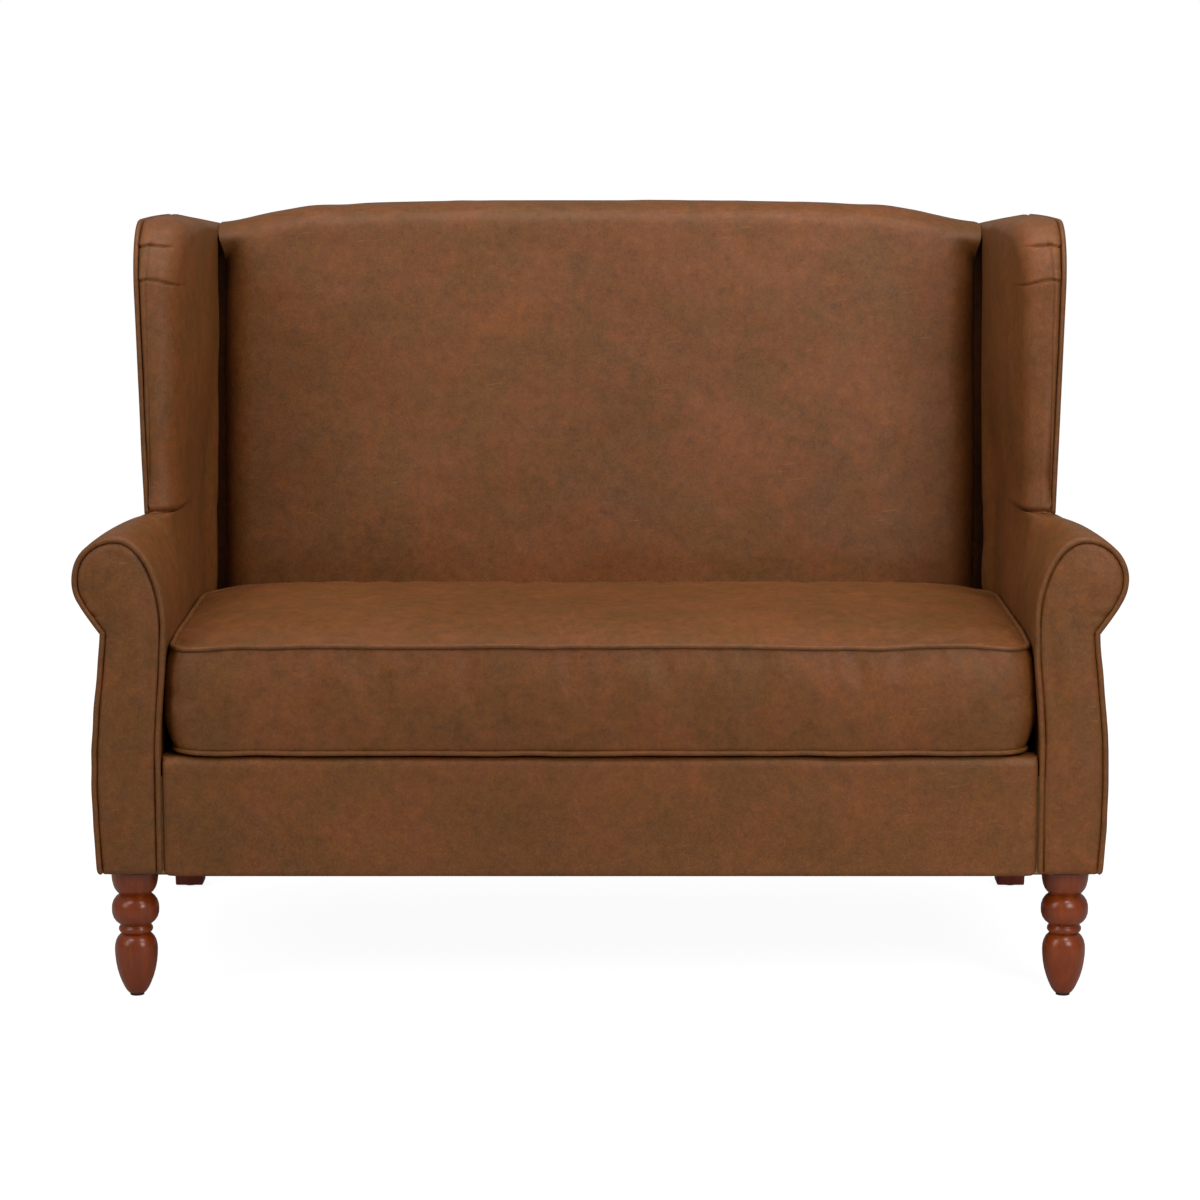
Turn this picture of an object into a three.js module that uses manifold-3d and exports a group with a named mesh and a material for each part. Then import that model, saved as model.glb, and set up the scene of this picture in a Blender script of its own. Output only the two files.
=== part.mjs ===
// High back settee: a two-seat wing settee with scroll arms, a loose box cushion, turned front legs and
// raked rear legs. X runs across the settee, Y from the front to the rear and Z up. Lengths are in
// millimetres. Heights start at the floor and depths at the front plane of the arm facings.
import * as THREE from "three";
import { mergeVertices } from "three/addons/utils/BufferGeometryUtils.js";
import Module from "manifold-3d";

const wasm = await Module();
wasm.setup();

const { clamp, lerp, degToRad } = THREE.MathUtils;

// Driving dimensions of the whole settee
const overallWidth = 1450;
const underside = 184;
const armHeight = 658;
const backHeight = 1083;
const frameDepth = 697;
const armWidth = 127.5;
const seatWidth = overallWidth - 2 * armWidth;
const backDepth = 151;
const seatDepth = frameDepth - backDepth;
const seatHeight = 515;
const deckHeight = 350;
const fit = 0.3;

// Covers, padding and welts
const weltRadius = 3.9;
const weltSides = 6;
const panelThickness = 2 * weltRadius;
const armPadding = 14;
const wingPadding = 16;

// Scroll arm: its section at the front, and how it runs to the wing
const scrollRound = 59.5;
const scrollDrop = 124;
const scrollStart = degToRad(7);
const scrollTurn = degToRad(32);
const neckDrop = 134;
const neckHeight = armHeight - neckDrop;
const neckUndercut = 36.5;
const neckTaper = 16.5;
const flankSwell = 16;
const rearSwell = 4;
const armLean = 10.5;
const armSweep = 28.5;
const sweepPower = 2.3;
const scrollRunOut = 105;
const scrollTailRound = 34;
const scrollTailInset = 65;
const scrollTailOutside = overallWidth / 2 - scrollTailInset;
const innerSteps = 3;
const scrollSteps = 6;

// Arm facing
const facingSetback = 1.5;
const facingCrown = 3;
const facingRound = 5;
const boardThickness = 20;

// Wing
const wingSetback = 246;
const wingRake = degToRad(2.6);
const wingFootInset = 69;
const wingFootWidth = overallWidth / 2 - wingFootInset;
const wingFlare = 10;
const wingRearInset = 51;
const wingRearWidth = overallWidth / 2 - wingRearInset;
const wingTopDrop = 9;
const wingTopFall = 23;
const topFallPower = 1.6;
const wingCorner = 100;
const wingNose = 15.5;
const wingNoseRun = 240;
const noseRound = 24;
const valleyRound = 8;
const topSink = 10.5;
const topSinkStart = wingSetback + 184;
const topSinkRun = 210;
const wingBoard = 18;

// Back
const backRake = degToRad(9.5);
const lumbarHeight = 540;
const lumbarEase = 60;
const rearRake = degToRad(3.8);
const backSideGap = 23.5;
const backHalfWidth = seatWidth / 2 - backSideGap;
const backEdgeRound = 38;
const backHollow = 4;
const backPadding = 16;
const crestRound = 30;
const crestCrown = 6;
const crestDip = 29;
const crestShoulderInset = 172.5;
const crestShoulder = seatWidth / 2 - crestShoulderInset;
const crestFootLap = 7.5;
const crestFoot = seatWidth / 2 + crestFootLap;
const creaseDepth = 16;
const creaseInset = 15;
const creaseEase = 62;
const crestRearDrop = 12;
const crestFrontDrop = 3;
const recessDepth = 21;
const cornerStart = 1000;
const cornerRise = 40;

// Wooden frame
const railThickness = 25;
const railTop = 322;
const rearRailInset = 48.5;
const rearRailSetback = frameDepth - rearRailInset;
const sideRailGap = 14.5;
const sideRailInside = seatWidth / 2 + sideRailGap;
const sideRailThickness = 28;
const postLap = 1.5;
const postInside = seatWidth / 2 - postLap;
const postWidth = 49;
const postDepth = 50;
const postTop = 975;
const centreRailTop = 300;
const crestRailHeight = 95;
const lowerRailFoot = 380;
const lowerRailHeight = 50;
const blockHeight = 75;
const blockDepth = 66;
const armRailWidth = 22;
const armRailHeight = 41;
const armRailFoot = 585;
const armRailFrontInset = 77;
const armRailFront = overallWidth / 2 - armRailFrontInset;
const armRailRearInset = 105;
const armRailRear = overallWidth / 2 - armRailRearInset;

// Front leg: a cup, a ball, a ring and a tapered body, turned on one axis
const legInset = 72;
const legAxisX = overallWidth / 2 - legInset;
const legAxisY = 52;
const cupRadius = 33;
const cupNeckRadius = 22;
const cupNeckHeight = 143;
const ballRadius = 33.2;
const ballHeight = 122;
const ballHalf = 21;
const ringRadius = 24;
const ringHeight = 93;
const ringHalf = 5.5;
const ringNeckRadius = 19.5;
const bodyRadius = 30.3;
const bodyHeight = 64;
const toeRadius = 13;
const toeHeight = 8;
const legSides = 18;
const glideRadius = 10;
const glideHeight = 3;

// Rear leg: square, splayed to the rear
const rearLegTop = 46;
const rearLegFoot = 43;
const rearLegInset = 52;
const rearLegOutside = overallWidth / 2 - rearLegInset;
const rearLegSplay = 47;
const rearLegReach = 54;
const rearLegSetback = frameDepth - rearLegReach;

// Leg bolt
const boltRadius = 4;
const boltInLeg = 38;
const boltInBlock = 45;
const boltSides = 12;

// Suspension
const springWire = 1.9;
const springSides = 4;
const springHalfWidth = 23;
const springRise = 7;
const springBends = 11;
const springsPerSide = 4;
const springMargin = 17.5;
const springPitch = (seatWidth / 2 - springMargin) / springsPerSide;
const deckPadding = 14;
const webbingWidth = 60;
const webbingThickness = 1.5;

// Seat cushion
const cushionOverhang = 4;
const cushionFront = -cushionOverhang;
const cushionSideFit = 0.6;
const cushionCorner = 50;
const seamInset = 7.5;
const seamTop = 501.5;
const seamFoot = 360;
const crownRun = 140;
const sagRun = 30;
const zipSetback = 5;
const coverThickness = 1.5;
const zipEndGap = 97.5;
const zipLength = seatWidth - 2 * zipEndGap;
const zipHeight = 9;
const zipThickness = 1.2;
const zipFoot = 426;
const sliderLength = 14;
const sliderHeight = 8;
const sliderDepth = 2.2;
const pullLength = 22;
const pullHeight = 4;
const pullDepth = 1;
const sliderMargin = 3;

// Apron and underside
const apronSetback = 2;
const apronThickness = 8;
const apronLap = 9;
const apronHalfWidth = seatWidth / 2 + apronLap;
const apronDrop = 2.5;
const apronFlange = 45;
const apronRound = 13;
const apronSteps = 5;
const dustClothThickness = 1.2;
const dustClothInset = 4;

// Shares of the sizes that they follow, chosen by hand
const flankShares = [
  [0, 0], [0.05, 0.07], [0.15, 0.28], [0.34, 0.72], [0.49, 0.95], [0.62, 1], [0.8, 0.93], [1, 0.66],
];
const throatShare = 0.5;
const roundShares = [0, 0.06, 0.24, 0.55, 1];
const cornerShares = [0, 0.24, 0.6, 1];
const wingBoardShares = [0.5, 1, 2];
const wingPanelShares = [0.5, 1, 1.25, 1.5, 1.75, 2];
const creaseShares = [0, 0.5, 0.8, 0.9, 1];
const wingPadShares = [0.25, 0.5, 0.62, 0.72, 0.8, 0.9, 1];
const wingPadRowShares = [0.2, 0.5, 0.8, 1];
const alongShares = [0.34, 0.67, 1];
const backRowShares = [0.1, 0.26, 0.42, 0.54, 0.66, 0.8, 1];
const backColumnShares = [0.22, 0.5, 0.76];
const rearColumnShares = [0, 0.31, 0.63, 0.72, 0.8, 0.87, 0.93, 1];
const rearRowShares = [0, 0.4, 0.65, 1];
const crestColumnShares = [0, 0.36, 0.74, 0.81, 0.88, 0.94, 1];
const bendShares = [0.25, 0.75];
const crestRimShares = [0.35, 0.8];
const facingLayerShares = [1, 0.4, 0];
const weltStepShare = 1.6;
const webbingShares = [0.25, 0.6];
const coverAcrossShares = [0.22, 0.5, 0.78];
const coverDepthShares = [0.33, 0.67];
const boxingShares = [
  [0.88, 0.29, 0], [0.67, 0.04, 0], [0.537, 0, 1], [0.459, 0, 1], [0.28, 0.04, 0], [0.113, 0.4, 0],
];
const coreAcrossShares = [0.5];
const coreDepthShares = [0.5];

// Finishes
const leather = { color: 0x6b452b, roughness: 0.55, metalness: 0 };
const mahogany = { color: 0x5f2a1c, roughness: 0.25, metalness: 0 };
const darkWood = { color: 0x4a2018, roughness: 0.4, metalness: 0 };
const beech = { color: 0xc9a06c, roughness: 0.7, metalness: 0 };
const foam = { color: 0xe6dcb8, roughness: 0.9, metalness: 0 };
const felt = { color: 0x8d8a84, roughness: 0.95, metalness: 0 };
const steel = { color: 0x8b8f94, roughness: 0.35, metalness: 0.9 };
const webbing = { color: 0x2b2a28, roughness: 0.9, metalness: 0 };
const dustCloth = { color: 0x1d1d1f, roughness: 0.9, metalness: 0 };
const nylon = { color: 0x2a2420, roughness: 0.4, metalness: 0 };

// Smooth step from 0 to 1 as t runs from 0 to 1
function ease(t) {
  const s = clamp(t, 0, 1);
  return s * s * (3 - 2 * s);
}

// A value read off a list of [place, value] pairs by straight lines
function readOff(table, t) {
  for (let i = 1; i < table.length; i++) {
    const [from, low] = table[i - 1];
    const [to, high] = table[i];
    if (t <= to) return lerp(low, high, (t - from) / (to - from));
  }
  return table[table.length - 1][1];
}

// Evenly spaced numbers from one end to the other, both included
function spread(from, to, steps) {
  return Array.from({ length: steps + 1 }, (_, i) => lerp(from, to, i / steps));
}

// A closed geometry from points and triangles, turned so that its faces point out
function bodyOf(points, triangles) {
  let volume = 0;
  for (const [a, b, c] of triangles) {
    volume += points[a].dot(points[b].clone().cross(points[c]));
  }
  const index = triangles.flatMap(([a, b, c]) => (volume < 0 ? [a, c, b] : [a, b, c]));
  const geometry = new THREE.BufferGeometry();
  geometry.setAttribute("position", new THREE.Float32BufferAttribute(points.flatMap((p) => p.toArray()), 3));
  geometry.setIndex(index);
  return geometry;
}

// A closed body between two sheets of points over one grid of columns and rows. The sheets are joined
// round their rim, through the extra rims given between them.
function slab(columns, rows, front, back, rims = []) {
  const points = [];
  const triangles = [];
  const add = (p) => points.push(p) - 1;
  const sheet = (at) => columns.map((u, i) => rows.map((v, j) => add(at(u, v, i, j))));
  const near = sheet(front);
  const far = sheet(back);
  const lastColumn = columns.length - 1;
  const lastRow = rows.length - 1;
  const quad = (a, b, c, d) => triangles.push([a, b, c], [a, c, d]);
  for (let i = 0; i < lastColumn; i++) {
    for (let j = 0; j < lastRow; j++) {
      quad(near[i][j], near[i + 1][j], near[i + 1][j + 1], near[i][j + 1]);
      quad(far[i][j], far[i][j + 1], far[i + 1][j + 1], far[i + 1][j]);
    }
  }
  const loop = [];
  for (let i = 0; i < lastColumn; i++) loop.push([i, 0]);
  for (let j = 0; j < lastRow; j++) loop.push([lastColumn, j]);
  for (let i = lastColumn; i > 0; i--) loop.push([i, lastRow]);
  for (let j = lastRow; j > 0; j--) loop.push([0, j]);
  const rings = [
    loop.map(([i, j]) => near[i][j]),
    ...rims.map((rim) => loop.map(([i, j]) => add(rim(columns[i], rows[j], i, j)))),
    loop.map(([i, j]) => far[i][j]),
  ];
  for (let k = 1; k < rings.length; k++) {
    loop.forEach((_, n) => {
      const next = (n + 1) % loop.length;
      quad(rings[k - 1][n], rings[k][n], rings[k][next], rings[k - 1][next]);
    });
  }
  return bodyOf(points, triangles);
}

const acrossAndUp = (p) => new THREE.Vector2(p.x, p.z);
const depthAndUp = (p) => new THREE.Vector2(p.y, p.z);

// A closed body through a row of closed rings with equal numbers of points, capped at both ends
function loft(rings, flat) {
  const clockwise = THREE.ShapeUtils.isClockWise(rings[0].map(flat));
  const turned = clockwise ? rings.map((ring) => [...ring].reverse()) : rings;
  const count = turned[0].length;
  const last = turned.length - 1;
  const triangles = [];
  for (let k = 0; k < last; k++) {
    for (let n = 0; n < count; n++) {
      const [a, b] = [k * count + n, k * count + ((n + 1) % count)];
      triangles.push([a, b, b + count], [a, b + count, a + count]);
    }
  }
  for (const [a, b, c] of THREE.ShapeUtils.triangulateShape(turned[0].map(flat), [])) {
    triangles.push([a, c, b]);
  }
  for (const face of THREE.ShapeUtils.triangulateShape(turned[last].map(flat), [])) {
    triangles.push(face.map((n) => last * count + n));
  }
  return bodyOf(turned.flat(), triangles);
}

// A round cord sewn along a list of points
function cordAlong(points, radius, sides, steps) {
  const section = new THREE.Shape();
  for (let i = 0; i < sides; i++) {
    const angle = (2 * Math.PI * i) / sides;
    const [x, y] = [radius * Math.cos(angle), radius * Math.sin(angle)];
    if (i === 0) section.moveTo(x, y);
    else section.lineTo(x, y);
  }
  const path = new THREE.CatmullRomCurve3(points, false, "centripetal");
  return new THREE.ExtrudeGeometry(section, { steps, extrudePath: path, bevelEnabled: false });
}

// A welt sewn along a list of points
function weltAlong(points) {
  return cordAlong(points, weltRadius, weltSides, Math.round(weltStepShare * points.length));
}

// A wire bent flat through a list of points, with one ring of points at each
function wireThrough(points, radius, sides) {
  const up = new THREE.Vector3(0, 0, 1);
  const rings = points.map((p, i) => {
    const ahead = points[Math.min(i + 1, points.length - 1)];
    const behind = points[Math.max(i - 1, 0)];
    const out = ahead.clone().sub(behind).cross(up).normalize();
    return spread(0, 2 * Math.PI, sides).slice(1).map((angle) =>
      p.clone()
        .addScaledVector(out, radius * Math.cos(angle))
        .addScaledVector(up, radius * Math.sin(angle)));
  });
  return loft(rings, acrossAndUp);
}

// A box from its lowest to its highest corner
function block(x0, x1, y0, y1, z0, z1) {
  const geometry = new THREE.BoxGeometry(x1 - x0, y1 - y0, z1 - z0);
  return geometry.translate((x0 + x1) / 2, (y0 + y1) / 2, (z0 + z1) / 2);
}

function cylinder(radius, x, y, z0, z1, sides) {
  const geometry = new THREE.CylinderGeometry(radius, radius, z1 - z0, sides);
  return geometry.rotateX(Math.PI / 2).translate(x, y, (z0 + z1) / 2);
}

// Solids for cutting and joining
function solidOf(geometry) {
  const bare = new THREE.BufferGeometry();
  bare.setAttribute("position", geometry.getAttribute("position"));
  if (geometry.index) bare.setIndex(geometry.index);
  const merged = mergeVertices(bare, 1e-4);
  return new wasm.Manifold(
    new wasm.Mesh({
      numProp: 3,
      vertProperties: new Float32Array(merged.getAttribute("position").array),
      triVerts: new Uint32Array(merged.index.array),
    }),
  );
}

function geometryOf(solid) {
  const mesh = solid.getMesh();
  const geometry = new THREE.BufferGeometry();
  const places = new Float32Array(mesh.vertProperties);
  geometry.setAttribute("position", new THREE.BufferAttribute(places, 3));
  geometry.setIndex(new THREE.BufferAttribute(new Uint32Array(mesh.triVerts), 1));
  return geometry;
}

function cut(geometry, ...tools) {
  return geometryOf(tools.reduce((solid, tool) => solid.subtract(solidOf(tool)), solidOf(geometry)));
}

function join(geometry, ...others) {
  return geometryOf(others.reduce((solid, other) => solid.add(solidOf(other)), solidOf(geometry)));
}

function meshOf(name, geometry, look) {
  const mesh = new THREE.Mesh(geometry, new THREE.MeshStandardMaterial(look));
  mesh.name = name;
  return mesh;
}

// Shared surfaces of the settee

// Rear plane of the settee at a height
function rearPlane(z) {
  return frameDepth + (z - underside) * Math.tan(rearRake);
}

// Front plane of the back posts at a height
function postFront(z) {
  return rearPlane(z) - panelThickness - fit - postDepth;
}

// Front of the inside back at a height: upright behind the cushion, raked above it
function backFace(z) {
  const rise = Math.max(0, z - lumbarHeight);
  return seatDepth + (Math.tan(backRake) * rise * rise) / (rise + lumbarEase);
}

// Depth of the crease between a wing and the inside back
function crease(z) {
  return backFace(z) + creaseDepth;
}

// How far the corner between a wing and the crest is closed at a height
function cornerClosed(z) {
  return ease((z - cornerStart) / cornerRise);
}

// Inner face of an arm or a wing in plan, where the seat is narrowest
function seatSide(y, z) {
  const turn = ease((y - crease(z)) / creaseEase + 1);
  const recess = clamp(y - crease(z), 0, recessDepth) * (1 - cornerClosed(z));
  return seatWidth / 2 - creaseInset * turn + recess;
}

// Height of the crest across the inside back
function crestHeight(x) {
  const side = Math.abs(x);
  const crown = crestCrown * Math.min(side / crestShoulder, 1) ** 2;
  const dip = crestDip * ease((side - crestShoulder) / (crestFoot - crestShoulder));
  return backHeight - crown - dip;
}

// Front edge of a wing at a height
function wingFront(z) {
  return wingSetback + (z - armHeight) * Math.tan(wingRake);
}

// Top edge of a wing at a depth
function wingTop(y) {
  const start = wingFront(backHeight);
  const along = clamp((y - start) / (rearPlane(backHeight) - start), 0, 1);
  return backHeight - lerp(wingTopDrop, wingTopFall, along ** topFallPower);
}

// Top edge of the rear from one wing to the other
function rearTop(x) {
  const rise = ease((Math.abs(x) - crestFoot) / (wingRearWidth - crestFoot));
  return lerp(crestHeight(x), wingTop(rearPlane(backHeight)), rise);
}

// Neck under the scroll in plan, and the outside of the arm below it
function neckLine(y) {
  return overallWidth / 2 - neckUndercut - (neckTaper * y) / frameDepth;
}

function flank(y, z) {
  const down = clamp((neckHeight - z) / (neckHeight - underside), 0, 1);
  const swell = lerp(flankSwell, rearSwell, y / frameDepth);
  return neckLine(y) + swell * readOff(flankShares, down);
}

// Outside of a wing, and below it of the rear of an arm
function wingOutside(y, z) {
  const height = clamp((z - armHeight) / (backHeight - armHeight), 0, 1);
  const front = wingFootWidth + wingFlare * height;
  const along = clamp((y - wingSetback) / (rearPlane(z) - wingSetback), 0, 1);
  const wing = lerp(front, wingRearWidth, along);
  return lerp(neckLine(y), wing, ease((z - neckHeight) / (armHeight - neckHeight)));
}

// Inner face of a wing: it opens out towards the nose
function wingInside(y, z) {
  return seatSide(y, z) + wingNose * (1 - ease((y - wingFront(z)) / wingNoseRun));
}

// Centre, radius and run-out of the scroll at a depth
function scrollAt(y) {
  const sweep = armSweep * Math.min(y / wingSetback, 1) ** sweepPower;
  const runOut = ease((y - wingSetback) / scrollRunOut);
  const outside = lerp(overallWidth / 2 - sweep, scrollTailOutside, runOut);
  const radius = lerp(scrollRound, scrollTailRound, runOut);
  return { x: outside - radius, z: armHeight - radius, radius, runOut };
}

// Outline of an arm at a depth, drawn in by an inset: up the inner face, over the scroll, down to the neck
function armOutline(y, inset, foot, neckFoot) {
  const { x, z, radius, runOut } = scrollAt(y);
  const waist = armHeight - scrollDrop;
  const inside = seatSide(y, waist) + inset;
  const points = [];
  const heights = [foot, ...spread(deckHeight, waist, innerSteps).filter((height) => height > foot)];
  for (const height of heights.filter((height) => height < waist)) {
    const lean = armLean * ease((waist - height) / (waist - deckHeight));
    points.push(new THREE.Vector3(inside + lean, y, height));
  }
  for (const angle of spread(0, Math.PI / 2, scrollSteps)) {
    const height = waist + (scrollDrop - inset) * Math.sin(angle);
    const round = x - (x - inside) * Math.cos(angle);
    const upright = lerp(inside, wingInside(y, armHeight) + inset, ease((height - waist) / scrollDrop));
    points.push(new THREE.Vector3(lerp(round, upright, runOut), y, height));
  }
  for (const angle of spread(Math.PI / 2 - scrollStart, -scrollTurn, scrollSteps)) {
    const reach = radius - inset;
    points.push(new THREE.Vector3(x + reach * Math.cos(angle), y, z + reach * Math.sin(angle)));
  }
  const end = points[points.length - 1];
  const neck = lerp(neckLine(y), scrollTailOutside, runOut) - inset;
  points.push(new THREE.Vector3(lerp(neck, end.x, throatShare), y, lerp(neckFoot, end.z, 1 / 2)));
  points.push(new THREE.Vector3(neck, y, neckFoot));
  return points;
}

// Depths and heights that several pieces share
const padFront = 2 * weltRadius + fit;
const apronRear = apronSetback + apronThickness;
const padRear = postFront(railTop) - webbingThickness - 2 * fit;
const creaseStart = crease(lumbarHeight) - creaseEase;
const panelRear = (z) => rearPlane(z) - panelThickness - fit;
const armStations = [
  padFront,
  padFront + boardThickness + fit,
  ...spread(wingSetback / 4, wingSetback, 3),
  ...spread(wingSetback, wingSetback + scrollRunOut, 3).slice(1),
  ...spread(creaseStart, crease(lumbarHeight), 4),
  crease(lumbarHeight) + recessDepth,
  padRear,
];

// The arm above its neck as one filled body, grown by a clearance, to fit what lies against it
function armBody(grow) {
  const foot = neckHeight - armPadding;
  const body = loft(armStations.map((y) => armOutline(y, -grow, foot, neckHeight - grow)), acrossAndUp);
  return cut(body, armTail());
}

// Space behind the scroll, outside the arm rail
function armTail() {
  return block(
    armRailRear + armRailWidth + fit, overallWidth / 2,
    wingSetback + scrollRunOut, padRear + armPadding,
    neckHeight - armPadding, armHeight + armPadding,
  );
}

// Distances from two edges that meet in a rounded corner, turned so that their lattice follows its arc
function roundCorner(across, down, radius) {
  const [a, b] = [radius - Math.min(across, radius), radius - Math.min(down, radius)];
  const reach = Math.hypot(a, b);
  const turn = reach > 0 ? Math.max(a, b) / reach : 1;
  return [radius - a * turn, radius - b * turn];
}

// Point of a wing's side view. Column and row run from the front and top edges: up to the corner's radius
// they are lengths. Past it columns take a run to the rear, and rows go to the arm's top and then the foot.
function wingSpot(column, row, foot, run) {
  const [setBack, setDown] = roundCorner(column, row, wingCorner);
  const knee = Math.max(armHeight, foot);
  const below = Math.max(0, row / wingCorner - 1);
  const along = Math.max(0, column / wingCorner - 1);
  const down = (top) => (below > 1 ? lerp(knee, foot, below - 1) : lerp(top - setDown, knee, below));
  const front = wingFront(down(backHeight)) + setBack;
  const guess = run(front, down(wingTop(rearPlane(backHeight))), along);
  const y = run(front, down(wingTop(guess)), along);
  return new THREE.Vector2(y, down(wingTop(y)));
}

// Runs from a wing's front to its rear: even, or along the crease and the recess behind it
const evenRun = (front, z, along) => lerp(front, panelRear(z), along);

function creasedRun(front, z, along) {
  const inner = postFront(z) - webbingThickness - 2 * fit;
  const ends = [
    front, crease(z) - creaseEase, crease(z), crease(z) + recessDepth,
    lerp(inner, panelRear(z), cornerClosed(z)),
  ];
  return readOff(creaseShares.map((share, i) => [share, ends[i]]), along);
}

// How far a rolled edge stands back at a distance from the rim, as a share of its depth
function rollShare(distance, round) {
  const t = 1 - clamp(distance / round, 0, 1);
  return 1 - Math.sqrt(1 - t * t);
}

const beyondCorner = (share) => wingCorner * (1 + share);

// A sheet of a wing between two offsets from its outside, set in from its front and top edges
function wingSheet(inset, rowShares, foot, from, to) {
  const edges = cornerShares.map((share) => Math.max(share * wingCorner, inset));
  const at = (offset) => (column, row) => {
    const spot = wingSpot(column, row, foot, evenRun);
    return new THREE.Vector3(wingOutside(spot.x, spot.y) - offset, spot.x, spot.y);
  };
  const columns = [...edges, ...alongShares.map(beyondCorner)];
  return slab(columns, [...edges, ...rowShares.map(beyondCorner)], at(to), at(from));
}

const boardOffset = panelThickness + fit;
const boardFoot = armRailFoot + armRailHeight + fit;
const boardInset = wingPadding + 3 * fit;

// Board inside a wing, grown by a clearance to fit what lies against it
function wingBoardBody(grow) {
  const [near, far] = [boardOffset - grow, boardOffset + wingBoard + grow];
  return wingSheet(boardInset - grow, wingBoardShares, boardFoot - grow, near, far);
}

// Inside wing: a pad over the wing board, rolled round the nose and over the top
function insideWing() {
  const edges = [...roundShares.map((share) => share * noseRound), (noseRound + wingCorner) / 2, wingCorner];
  const columns = [...edges, ...wingPadShares.map(beyondCorner)];
  const rows = [...edges, ...wingPadRowShares.map(beyondCorner)];
  const foot = armHeight + fit;
  const front = (column, row) => {
    const { x: y, y: z } = wingSpot(column, row, foot, creasedRun);
    const round = lerp(noseRound, valleyRound, ease((y - wingFront(z)) / (crease(z) - wingFront(z))));
    const inside = wingInside(y, z) + round * rollShare(Math.min(column, row), round);
    const sink = topSink * ease((y - topSinkStart) / topSinkRun) * (1 - Math.min(row / wingCorner, 1));
    return new THREE.Vector3(inside, y - sink * Math.tan(rearRake), z - sink);
  };
  const back = (column, row) => {
    const { x: y, y: z } = wingSpot(column, row, foot, creasedRun);
    return new THREE.Vector3(wingOutside(y, z) - panelThickness - fit, y, z);
  };
  return cut(slab(columns, rows, front, back), wingBoardBody(fit));
}

// Outside wing: a covered panel over the wing board, down to the outside arm, with its welt sewn on
function outsideWing() {
  const foot = neckHeight + fit;
  const panel = wingSheet(weltRadius - fit, wingPanelShares, foot, 0, panelThickness);
  const edges = cornerShares.map((share) => Math.max(share * wingCorner, weltRadius));
  const along = alongShares.map(beyondCorner);
  const upright = wingPadRowShares.map(beyondCorner).reverse();
  const spots = [
    ...[...upright, ...edges.slice(1).reverse()].map((row) => [weltRadius, row]),
    ...[...edges, ...along].map((column) => [column, weltRadius]),
  ].map(([column, row]) => wingSpot(column, row, armHeight - weltRadius, evenRun));
  const line = spots.map(({ x: y, y: z }) =>
    new THREE.Vector3(wingOutside(y, z) - weltRadius, y, z));
  return cut(join(panel, weltAlong(line)), armBody(fit));
}

// Inside arm: a padded skin in the shape of a cane, from the side rail over the scroll to the neck
function insideArm() {
  const foot = railTop + fit;
  const skin = loft(armStations.map((y) => [
    ...armOutline(y, 0, foot, neckHeight + fit),
    ...armOutline(y, armPadding, foot, neckHeight + fit).reverse(),
  ]), acrossAndUp);
  return cut(skin, wingBoardBody(fit), armTail());
}

// Full outline of an arm's front, from the foot of its inner side to the foot of its flank
function frontOutline(y, inset, flankInset, foot) {
  const inner = armOutline(y, inset, foot, neckHeight);
  if (flankInset === inset) inner.pop();
  const outer = flankShares.map(([share]) => {
    const z = lerp(neckHeight, foot, share);
    return new THREE.Vector3(flank(y, z) - flankInset, y, z);
  });
  return [...inner, ...outer];
}

// Facing: a padded panel inside the welt, with a soft edge
function armFacing() {
  const inset = 2 * weltRadius + 4 * fit;
  const front = facingLayerShares.map((share) => {
    const drawn = inset + (1 - share) * facingRound;
    const foot = underside + (1 - share) * facingRound;
    const depth = facingSetback + facingCrown * rollShare(1 - share, 1);
    return frontOutline(0, drawn, drawn, foot).map((p) => p.setY(depth));
  });
  const rear = frontOutline(0, inset, inset, underside).map((p) => p.setY(padFront - fit));
  return loft([...front.reverse(), rear], acrossAndUp);
}

function facingWelt() {
  const line = frontOutline(0, weltRadius, weltRadius, underside).map((p) => p.setY(weltRadius));
  return weltAlong(line);
}

// Front board of an arm, which the facing and the skin are fixed to
function armFrontBoard() {
  const outline = (y) => frontOutline(y, armPadding + fit, panelThickness + fit, underside);
  return loft([outline(padFront), outline(padFront + boardThickness)], acrossAndUp);
}

// Rail inside the scroll, from the front board to the back post
function armRail() {
  const corners = [[0, 0], [1, 0], [1, 1], [0, 1]];
  const ring = (x, depthAt) => corners.map(([u, v]) => {
    const z = armRailFoot + v * armRailHeight;
    return new THREE.Vector3(x + u * armRailWidth, depthAt(z), z);
  });
  return loft([
    ring(armRailFront, () => padFront + boardThickness + fit),
    ring(armRailRear, () => wingSetback + scrollRunOut),
    ring(armRailRear, (z) => postFront(z) - fit),
  ], acrossAndUp);
}

// Outside arm: a covered panel from the underside to the neck
function outsideArm() {
  const at = (offset) => (column, row) => {
    const z = lerp(neckHeight - fit, underside, row);
    const y = lerp(padFront, panelRear(z), column);
    return new THREE.Vector3(flank(y, z) - offset, y, z);
  };
  const rows = flankShares.map(([share]) => share);
  return slab([0, ...alongShares], rows, at(0), at(panelThickness));
}

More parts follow.
